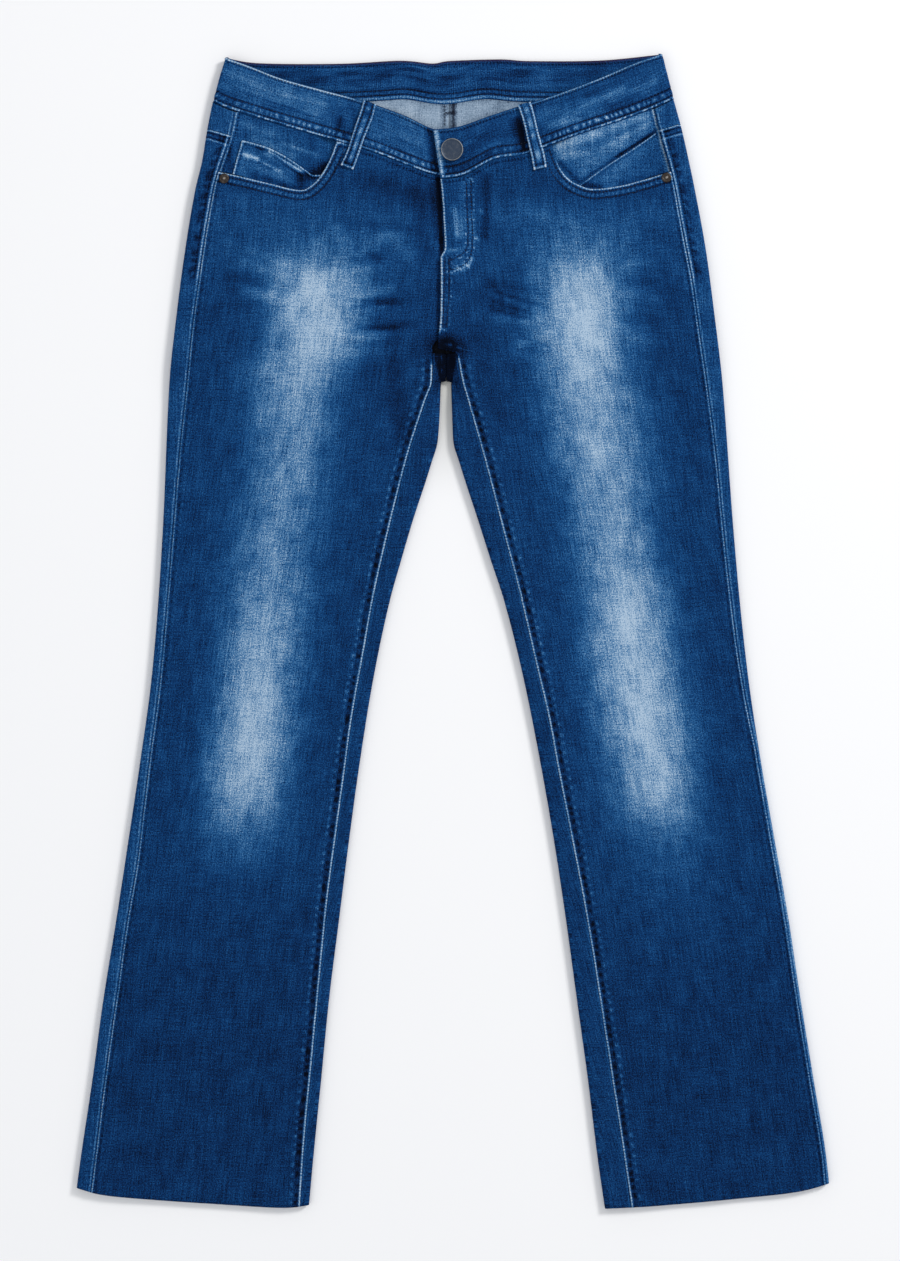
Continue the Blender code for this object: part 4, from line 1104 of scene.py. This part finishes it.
def band_stations():
    """The waistband's lower and upper edge from its under end to its lapped end, as rows."""
    run, behind_run, turn_steps = 110, 220, 14
    radius = (BAND_FRONT_LEVEL - BAND_BACK_LEVEL) / 2
    middle = (BAND_FRONT_LEVEL + BAND_BACK_LEVEL) / 2
    lines = []
    for edge in ("bottom", "top"):
        right, left = BAND_EDGES[f"front right {edge}"], BAND_EDGES[f"front left {edge}"]
        behind = BAND_EDGES[f"back {edge}"]
        spot = right.at(np.arange(run) / run)
        under = np.where(spot[:, 0] < 0, ease(14, 45, -spot[:, 0]), 0)
        parts = [stack(*spot.T, mix(BAND_UNDER_LEVEL, BAND_FRONT_LEVEL, under))]
        angle = math.pi * np.arange(turn_steps + 1) / turn_steps
        corner = right.at(1)
        parts.append(stack(corner[0] + radius * (1 - np.sin(angle)), corner[1],
                           middle + radius * np.cos(angle)))
        spot = behind.at(np.arange(1, behind_run) / behind_run)
        parts.append(stack(*spot.T, BAND_BACK_LEVEL))
        corner = left.at(1)
        parts.append(stack(corner[0] - radius * (1 - np.sin(angle)), corner[1],
                           middle + radius * np.cos(angle[::-1])))
        spot = left.at(np.arange(run - 1, -1, -1) / run)
        parts.append(stack(*spot.T, mix(BAND_FRONT_LEVEL, BAND_LAP_LEVEL, 1 - ease(13, 48, spot[:, 0]))))
        lines.append(np.vstack(parts))
    return lines


BAND_LOW, BAND_HIGH = band_stations()
band_along = np.gradient((BAND_LOW + BAND_HIGH) / 2, axis=0)
BAND_OUT = np.cross(BAND_HIGH - BAND_LOW, band_along)
BAND_OUT /= np.linalg.norm(BAND_OUT, axis=1, keepdims=True)
BAND_LENGTH = np.concatenate(([0], np.cumsum(np.linalg.norm(band_along[1:], axis=1))))
BAND_TALL = np.linalg.norm(BAND_HIGH - BAND_LOW, axis=1)


def band_at(station, up, out):
    """A place on the waistband: station along it, up from its lower edge, out from its middle."""
    index = np.arange(len(BAND_LOW))
    low, high, outward = (np.stack([np.interp(station, index, line[:, k]) for k in range(3)], axis=-1)
                          for line in (BAND_LOW, BAND_HIGH, BAND_OUT))
    tall = np.linalg.norm(high - low, axis=1, keepdims=True)
    up, out = np.asarray(up)[..., None], np.asarray(out)[..., None]
    return low + (high - low) * up / tall + outward * out


def band_relief(along, up, tall):
    """How the outer face of the waistband stands out: stitched grooves and the cloth between."""
    high = 0.20 * ripple(along, up, 30, 71) + 0.12 * ripple(along, up, 11, 72)
    high = high - 0.3 * sum(hump(up, row, 0.8) for row in BAND_ROWS)
    puff = 0.5 + 0.5 * np.sin(2 * math.pi * along / 4.2 + 1.5 * ripple(along, up * 0, 40, 73))
    high = high + 0.25 * hump(up, 6.6, 2.2) * puff - 0.2 * hump(tall - up, 2.6, 0.7)
    return high * off_edges(up, tall)


def off_edges(up, tall):
    """0 where the waistband's faces begin to turn round its edges, 1 further in."""
    return ease(BAND / 2, 3.0, up) * ease(BAND / 2, 3.0, tall - up)


def waistband():
    half = BAND / 2
    face, turn = 22, 5
    count = 2 * face + 2 * turn
    stations = len(BAND_LOW)

    def place(where):
        k = np.round((where[:, 0] + 0.5) * count)
        station = np.round((0.5 - where[:, 1]) * (stations - 1))
        i = station.astype(int)
        tall, along = BAND_TALL[i], BAND_LENGTH[i]
        low, high = half, tall - half
        over, back_down = face + turn, 2 * face + turn
        angle = np.where(k <= over, math.pi * (k - face) / turn, math.pi * (k - back_down) / turn)
        on = [k <= face, k < over, k <= back_down]
        up = np.select(on, [mix(low, high, k / face), high + half * np.sin(angle),
                            mix(high, low, (k - over) / face)], low - half * np.sin(angle))
        out = np.select(on, [half, half * np.cos(angle), -half], -half * np.cos(angle))
        on_outer, on_inner = k <= face, (k >= over) & (k <= back_down)
        out = out + np.where(on_outer, band_relief(along, up, tall), 0)
        inner_relief = 0.25 * sum(hump(up, row, 0.8) for row in BAND_INNER_ROWS)
        inner_relief = inner_relief - 0.2 * ripple(along, up, 24, 74)
        out = out + np.where(on_inner, inner_relief * off_edges(up, tall), 0)
        spots = band_at(station, up, out)
        x, y = spots[:, 0], spots[:, 1]
        on_front = 1.0 * ((BAND_OUT[i, 2] > 0.3) & on_outer)
        at_back = 1.0 * ((BAND_OUT[i, 2] < -0.3) & on_outer)
        behind = 1.0 * ((BAND_OUT[i, 2] < -0.3) & ~on_outer)
        lapped = (i > stations - 60) & (x < 60)
        # The outer face: its tone, the patches and painted shadows on it, the painted shade beside the
        # loops and a darker run between the rows of stitches.
        wear_and_shade = np.where(x < -17, 0.20, 0.08) * on_front
        wear_and_shade = wear_and_shade + at_back * (0.14 + 0.08 * ripple(along, up * 2, 50, 77))
        wear_and_shade = np.where(lapped, mix(0.14, 0.04, ease(60, 30, x)) + 0.04, wear_and_shade)
        beside_loop = np.minimum(np.abs(x - np.interp(y, (405, 470), (-94, -73))),
                                 np.abs(x - np.interp(y, (405, 470), (77, 64))))
        shade = 0.08 * hump(beside_loop, 0, 9) + 0.12 * hump(up, 6.6, 3.0)
        wear_and_shade = wear_and_shade + on_front * (painted("band", x, y) - shade)
        # The inner face at the back: streaks along it and two paler runs.
        wear_and_shade = wear_and_shade + behind * (0.05 * ripple(along, up * 4, 60, 75) + 0.08 * hump(up, 14, 2.5)
                                + 0.10 * ripple(along, up * 5, 34, 76) * hump(up, 24, 9)
                                + 0.10 * hump(up, 30, 1.2) * ease(-30, 40, np.abs(x)))
        mottle = 0.12 + 0.22 * hump(x, -125, 55) + 0.20 * hump(x, -45, 30) + 0.42 * hump(x, 135, 52)
        high_line = 0.85 * ease(70, 100, -x) + 0.50 * ease(60, 90, x) + 0.12
        looks = {
            "across": up + 60 * ~on_outer + 2200, "down": along, "wear_and_shade": wear_and_shade,
            "low": np.where(behind, np.interp(up, (0, *BAND_INNER_ROWS, 44), (0, *BAND_ROWS, 45.2)), up),
            "low_line": on_front * 0.85 + behind * 0.50 + at_back * 0.70,
            "high": tall - up, "high_line": on_front * high_line + at_back * 0.50,
            "face": on_outer, "inside": behind, "lap": np.where(on_outer, BAND_LENGTH[-1] - along, FAR),
            "mottle": on_front * mottle + 0.10 * behind + 0.20 * at_back,
            "maroon": behind * (1 - ease(0.4, 2.0, tall - up)),
        }
        return spots, looks

    bm = bmesh.new()
    bmesh.ops.create_grid(bm, x_segments=count, y_segments=stations - 1, size=0.5)
    piece = placed("waistband_cloth", bm, place, (band_denim,))
    closed = bmesh.new()
    closed.from_mesh(piece.data)
    bmesh.ops.remove_doubles(closed, verts=closed.verts, dist=0.000002)
    ends = [e for e in closed.edges if e.is_boundary]
    bmesh.ops.holes_fill(closed, edges=ends, sides=0)
    bmesh.ops.recalc_face_normals(closed, faces=closed.faces)
    closed.to_mesh(piece.data)
    closed.free()
    piece.data.shade_smooth()
    return piece


def loop_spot(side, share, aside):
    """A place on a front belt loop's upper face."""
    top, bottom = (np.array(p) for p in FRONT_LOOPS[side])
    along = bottom - top
    square = np.array((-along[1], along[0])) / np.hypot(*along)
    on_band = BAND_FRONT_LEVEL + BAND / 2 + GAP + LOOP / 2
    on_front = BACK_IN_SEAT + FRONT_OVER_BACK + DENIM / 2 + GAP + LOOP / 2 + 0.1
    bend = 0.9 * np.sin(math.pi * share) + 0.3 * np.sin(3 * math.pi * share)
    spot = top + along * share[:, None] + square * (aside + bend)[:, None]
    arch = 1.1 * np.sin(math.pi * np.minimum(share / 0.72, 1.0)).clip(0) ** 0.8
    z = mix(on_band + arch, on_front, ease(0.78, 0.98, share))
    tucked = 0.9 * (1 - ease(0.0, 0.05, share)) + 0.3 * ease(0.97, 1.0, share)
    return spot, z - tucked


# Pale rubs down the middle of a front loop: share of its length, half length and strength.
LOOP_RUBS = {
    "right": ((0.10, 2, 0.7), (0.28, 4, 0.6), (0.45, 5, 0.7), (0.66, 5, 0.8), (0.84, 4, 0.9)),
    "left": ((0.12, 2.5, 0.75), (0.32, 5, 0.65), (0.5, 2.5, 0.8), (0.8, 4, 0.9)),
}


def front_loop(side):
    length = np.hypot(*(np.array(FRONT_LOOPS[side][0]) - FRONT_LOOPS[side][1]))
    tone, start, drawn = {"right": (0.05, 2500, 0), "left": (0.19, 2700, 2)}[side]

    def place(c, r):
        width = LOOP_WIDTH * (1 + 0.05 * np.sin(7 * r + drawn))
        aside = (c - 0.5) * width
        spot, z = loop_spot(side, r, aside)
        edge = width / 2 - np.abs(aside)
        z = z + 0.28 * hump(aside, 0, 2.2) - 0.22 * hump(edge, 2.3, 0.7) - 0.25 * (1 - ease(0, 1.2, edge))
        along = r * length
        wear_and_shade = np.full_like(r, tone)
        for middle, long_, amount in LOOP_RUBS[side]:
            wear_and_shade = wear_and_shade + 0.8 * amount * hump(along, middle * length, long_) * hump(aside, 0, 1.7)
        from_end = length - along
        wear_and_shade = wear_and_shade + 0.6 * hump(from_end, 1.0, 0.9) - 0.3 * hump(from_end, 3.4, 1.2)
        wear_and_shade = wear_and_shade + 0.9 * hump(from_end, 1.0, 1.2) * (edge < 1.6)
        return stack(spot[:, 0], spot[:, 1], z), {
            "across": aside, "down": along + start, "wear_and_shade": wear_and_shade, "edge": edge, "along": along,
            "shade": 0.5}

    return sheet(f"loop_front_{side}", 14, 64, place, (loop_denim, pale_inside), wall=LOOP - 0.2)


def back_loop(side):
    high, low = BACK_LOOPS[side]

    def place(c, r):
        aside = (c - 0.5) * LOOP_WIDTH
        x = mix(high, low, r) + aside
        y = mix(BACK_LOOP_TOP, BACK_LOOP_BOTTOM, r)
        wear_and_shade = 0.12 + 0.35 * hump(aside, 0, 1.7) * (0.5 + 0.5 * np.sin(r * 12))
        return stack(x, y, BACK_IN_LEG + 0.02), {
            "across": aside, "down": y + 2800, "wear_and_shade": wear_and_shade, "edge": LOOP_WIDTH / 2 - np.abs(aside),
            "along": y, "shade": 0.3}

    return sheet(f"loop_back_{side}", 12, 46, place, (loop_denim, pale_inside), flip=True)


# Outline of a patch pocket: level, and how far out its inner and outer side are.
PATCH_POCKET = np.array(((248, 96, 108), (274, 40, 164), (330, 37, 168), (388, 34, 172)), float)


def patch_pocket(side):
    turn = sign(side)
    levels, inners, outers = PATCH_POCKET.T

    def place(c, r):
        level = np.interp(r, (0, 0.42, 0.8, 1), levels[::-1])
        inner, outer = np.interp(level, levels, inners), np.interp(level, levels, outers)
        aside = mix(inner, outer, c)
        x = BACK_CENTRE_TOP + turn * aside
        side_gap = np.minimum(aside - inner, outer - aside)
        slant = np.abs(level - np.interp(aside, (40, 96, 108, 164), (274, 248, 248, 274))) * 0.9
        top_gap = levels[-1] - level
        edge = np.minimum(np.minimum(side_gap, top_gap), slant)
        wear_and_shade = 0.20 + 0.22 * hump(np.hypot((aside - 102) / 55, (level - 320) / 50), 0, 1)
        return stack(x, level, BACK_IN_LEG), {
            "across": x, "down": level + 3300, "wear_and_shade": wear_and_shade, "edge": edge,
            "along": np.where(side_gap < top_gap, level, x), "shade": 0.3}

    return sheet(f"patch_pocket_{side}", 60, 64, place, (pocket_denim, pale_inside),
                 flip=side == "left")


def turned(name, profile, centre, finish, steps=64):
    """A round metal piece: a profile of radius and height, spun about its middle."""
    bm = bmesh.new()
    corners = [bm.verts.new((radius, 0, height)) for radius, height in profile]
    edges = [bm.edges.new(pair) for pair in zip(corners, corners[1:])]
    bmesh.ops.spin(bm, geom=corners + edges, axis=(0, 0, 1), cent=(0, 0, 0), steps=steps,
                   angle=2 * math.pi, use_merge=True)
    bmesh.ops.remove_doubles(bm, verts=bm.verts, dist=0.001)
    bmesh.ops.recalc_face_normals(bm, faces=bm.faces)

    def place(where):
        radius = np.hypot(where[:, 0], where[:, 1])
        return where + centre, {"across": where[:, 0], "down": where[:, 1], "radius": radius,
                                "height": where[:, 2]}

    return placed(name, bm, place, (finish,))


def button():
    top = BAND_LAP_LEVEL + BAND / 2 + GAP
    rim, tall = BUTTON_RADIUS, BUTTON_HEIGHT
    profile = ((0, tall - 0.45), (rim - 3.0, tall - 0.5), (rim - 1.5, tall - 0.5),
               (rim - 1.15, tall - 0.35), (rim - 0.95, tall - 0.05), (rim - 0.6, tall),
               (rim - 0.2, tall - 0.3), (rim, tall - 1.0), (rim - 0.25, tall - 1.7),
               (rim - 1.0, tall - 2.0), (rim - 3.5, tall - 2.2), (rim - 4.0, 0), (0, 0))
    return turned("shank_button", profile, (*BUTTON_AT, top), button_metal, 72)


def rivet(side):
    x, y = RIVETS[side]
    top = float(front_level(side, np.array([x]), np.array([y]))[0]) + DENIM / 2 + GAP + 0.1
    rim, tall = RIVET_RADIUS, RIVET_HEIGHT
    profile = ((0, tall), (0.7, tall - 0.05), (1.2, tall - 0.25), (1.5, tall - 0.75),
               (1.9, tall - 0.95), (rim - 1.5, tall - 0.75), (rim - 0.9, tall - 0.55),
               (rim - 0.4, tall - 0.85), (rim, 0.35), (rim - 0.3, 0), (0, 0))
    return turned(f"pocket_rivet_{side}", profile, (x, y, top), rivet_metal, 40)


def metal(name, dark, bright, rough, edge):
    """Worn metal: darker in the low places, brighter on the rim that rubs."""
    finish = Finish(name, roughness=rough, metallic=0.75, specular=0.5)
    millimetres = finish.node("VectorMath", {0: finish.place(), "Scale": 1000.0},
                              operation="SCALE").outputs[0]
    radius = finish.attribute("radius")
    grain = finish.noise(millimetres, (0.5, 0.5), 3.0, 0.7)
    blotch = finish.noise(millimetres, (3.0, 3.0), 3.0)
    share = radius.near(edge[0], edge[1]) + grain * 0.9 + blotch * 0.8
    colour = finish.blend(share.math("MAXIMUM", 0.0).math("MINIMUM", 1.0), dark, bright)
    return finish.done(colour, grain * 0.12, rough + grain * 0.4)


class Sewing:
    """Stitches of one kind, joined in one piece."""

    def __init__(self, name, colour):
        self.name, self.bm = name, bmesh.new()
        finish = Finish(name + "_thread", roughness=0.7, specular=0.3)
        share = finish.number("TexNoise", {"Vector": finish.place(), "Scale": 900.0, "Detail": 2.0})
        share = share.step(0.35, 0.7)
        dark = tuple(v * 0.45 for v in shown(*colour))
        finish.done(finish.blend(share, dark, shown(*colour)), share * 0.1)
        self.material = finish.material

    def row(self, line, pitch=STITCH_PITCH, width=0.75, length=2.3, tall=0.55):
        """Stitches along a line of places in millimetres."""
        line = np.asarray(line, float)
        steps = np.linalg.norm(np.diff(line, axis=0), axis=1)
        run = np.concatenate(([0], np.cumsum(steps)))
        up = Vector((0, 0, 1))
        for at in np.arange(pitch / 2, run[-1], pitch):
            a, b = (Vector([np.interp(s, run, line[:, k]) for k in range(3)])
                    for s in (at - length / 2, at + length / 2))
            along = (b - a).normalized()
            side = up.cross(along).normalized()
            turned_to = Matrix((along, side, along.cross(side))).transposed().to_4x4()
            size = Matrix.Diagonal((length / 2, width / 2, tall / 2, 1))
            spot = Matrix.Translation((a + b) / 2)
            bmesh.ops.create_uvsphere(self.bm, u_segments=6, v_segments=4, radius=1.0,
                                      matrix=spot @ turned_to @ size)

    def done(self):
        def place(where):
            return where, {"across": where[:, 0], "down": where[:, 1]}
        return placed(self.name, self.bm, place, (self.material,))


front_denim = denim("front_denim", front_seams)
back_denim = denim("back_denim", back_seams)
band_denim = denim("band_denim", band_seams, tint=("maroon", (52, 34, 56)))
plain_denim = denim("facing_denim", edge_seams(0.55, 2.8, groove=0.25, line_width=1.2))
coin_denim = denim("coin_pocket_denim", edge_seams(0.75, 2.6, groove=0.26))
lower_denim = denim("facing_lower_denim", edge_seams(0.55, 2.4, groove=0.10, line_width=1.1))
loop_denim = denim("loop_denim", edge_seams(0.85, 2.5, groove=0.34))
pocket_denim = denim("patch_pocket_denim", edge_seams(0.4, 2.4, 8.4, groove=0.2))
pale_inside = wrong_side()
button_metal = metal("button_metal_worn", (0.040, 0.060, 0.098), (0.24, 0.25, 0.26), 0.5, (9.4, 0.7))
rivet_metal = metal("rivet_metal_worn", (0.040, 0.030, 0.025), (0.30, 0.29, 0.27), 0.42, (0.3, 1.3))

panels = {}
for wearers_side in ("right", "left"):
    panels[f"front_{wearers_side}"] = front(wearers_side)
    panels[f"back_{wearers_side}"] = back(wearers_side)
    panels[f"yoke_{wearers_side}"] = yoke(wearers_side)
    panels[f"pocket_facing_{wearers_side}"] = facing(wearers_side)
    panels[f"belt_loop_front_{wearers_side}"] = front_loop(wearers_side)
    panels[f"back_pocket_{wearers_side}"] = patch_pocket(wearers_side)
for place_on_back in BACK_LOOPS:
    panels[f"belt_loop_back_{place_on_back}"] = back_loop(place_on_back)
panels["coin_pocket"] = on_facing(
    "coin_pocket_cloth", "right", (0.10, 0.80), (
        (-190, 437), (-186.7, 435), (-168, 430.0), (-157, 425.5), (-146, 419.5), (-134, 411.5),
        (-124, 404)), 60, 40, coin_denim, "coin", 0.20)
panels["pocket_facing_left_lower"] = on_facing(
    "facing_lower_cloth", "left", (0.03, 0.86), (
        (108, 391), (116, 397), (138, 412.9), (160, 427), (181.4, 441.6), (190, 447)),
    70, 36, lower_denim, "facing lower", 0.17)
panels["waistband"] = waistband()
hardware = {"button": button(), "rivet_right": rivet("right"), "rivet_left": rivet("left")}

dark_sewing = Sewing("dark_stitches", (12, 26, 54))
last = len(BAND_LOW) - 1
for spread in ((4, 106), (last - 104, last - 2)):
    stations = np.linspace(*spread, 260)
    along, tall = (np.interp(stations, np.arange(last + 1), run) for run in (BAND_LENGTH, BAND_TALL))
    for up in BAND_ROWS:
        out = BAND / 2 + band_relief(along, np.full(260, up), tall)
        dark_sewing.row(band_at(stations, up, out))
    dark_sewing.row(band_at(stations, tall - 2.2, BAND / 2 - 0.1), width=0.6)
for up in BAND_INNER_ROWS:
    dark_sewing.row(band_at(np.linspace(150, 318, 400), up, -BAND / 2 + 0.05), width=0.6)
for side in ("right", "left"):
    edge = front_top_edge(side)
    opening_part = pocket_opening(side).length[-1] / edge.length[-1]
    shares = np.linspace(0.06, opening_part * 0.995, 90)
    for gap in (2.8, 8.2):
        spots = edge.at(shares) + edge.across(shares) * gap * sign(side) * -1
        dark_sewing.row(stack(*spots.T, front_top(side, *spots.T) + 0.05))
for fly_row in FLY_ROWS:
    spots = fly_row.at(np.linspace(0.02, 0.98, 60))
    dark_sewing.row(stack(*spots.T, front_top("left", *spots.T) + 0.05))
on_yoke = BACK_IN_SEAT + DENIM / 2 + 0.3
for x in YOKE_ROWS:
    dark_sewing.row(stack(x, np.linspace(448, 468, 8), on_yoke))
dark_sewing.row(stack(np.linspace(*YOKE_ROWS, 6), YOKE_BAR, on_yoke), pitch=2.4)
for side in ("right", "left"):
    for aside in (-3.2, 3.2):
        share = np.linspace(0.03, 0.97, 60)
        spot, z = loop_spot(side, share, np.full(60, aside))
        dark_sewing.row(stack(*spot.T, z + LOOP / 2 - 0.15), width=0.6)
dark_stitches = dark_sewing.done()

# The model's parts that the pieces and the metal parts here stand in for are hidden.
for node, piece in panels.items():
    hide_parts(node)
    ("denim_inside" if "yoke" in node else
            "denim_waistband" if node == "waistband" or "belt_loop" in node else "denim")
for node, piece in hardware.items():
    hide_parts(node)
    "button_metal" if node == "button" else "rivet_metal"

floor_bm = bmesh.new()
bmesh.ops.create_grid(floor_bm, x_segments=1, y_segments=1, size=4.0)
floor_mesh = bpy.data.meshes.new("pale_floor")
floor_bm.to_mesh(floor_mesh)
floor_bm.free()
floor = bpy.data.objects.new("pale_floor", floor_mesh)
floor.location = (0, 0, -0.0004)
bpy.context.scene.collection.objects.link(floor)
paper = Finish("pale_floor_paint", roughness=0.95, specular=0.1)
floor_x, floor_y = paper.parts(paper.place())
gap_shade = floor_x.near(-0.006, 0.03) * floor_y.step(0.11, 0.22) * (1.0 - floor_y.step(0.222, 0.24))
paper.done(paper.blend(gap_shade * 0.9, shown(252, 252, 253), shown(206, 206, 201)))
floor_mesh.materials.append(paper.material)

camera_data = bpy.data.cameras.new("camera")
camera = bpy.data.objects.new("camera", camera_data)
bpy.context.scene.collection.objects.link(camera)
camera.location = (-0.00257, 0.00069, 2.6)
camera_data.sensor_width = 36.0
camera_data.lens = 36.0 * (2.6 - 0.006) / 1.116
bpy.context.scene.camera = camera


def area_light(name, place, aim, size, power, colour=(1, 1, 1)):
    data = bpy.data.lights.new(name, "AREA")
    data.shape, data.size, data.energy, data.color = "SQUARE", size, power, colour
    light = bpy.data.objects.new(name, data)
    light.location = place
    light.rotation_euler = (Vector(aim) - Vector(place)).to_track_quat("-Z", "Y").to_euler()
    bpy.context.scene.collection.objects.link(light)


area_light("key", (3.2, 2.4, 2.7), (0, 0, 0), 1.1, 140.0, (1.0, 0.99, 0.975))
area_light("fill", (-1.6, -0.9, 2.4), (0, 0, 0), 2.4, 12.0, (0.97, 0.985, 1.0))
world = bpy.data.worlds.new("soft_room")
world.use_nodes = True
world.node_tree.nodes["Background"].inputs[0].default_value = (0.95, 0.97, 1.0, 1.0)
world.node_tree.nodes["Background"].inputs[1].default_value = 0.58
bpy.context.scene.world = world
bpy.context.scene.view_settings.view_transform = "Standard"
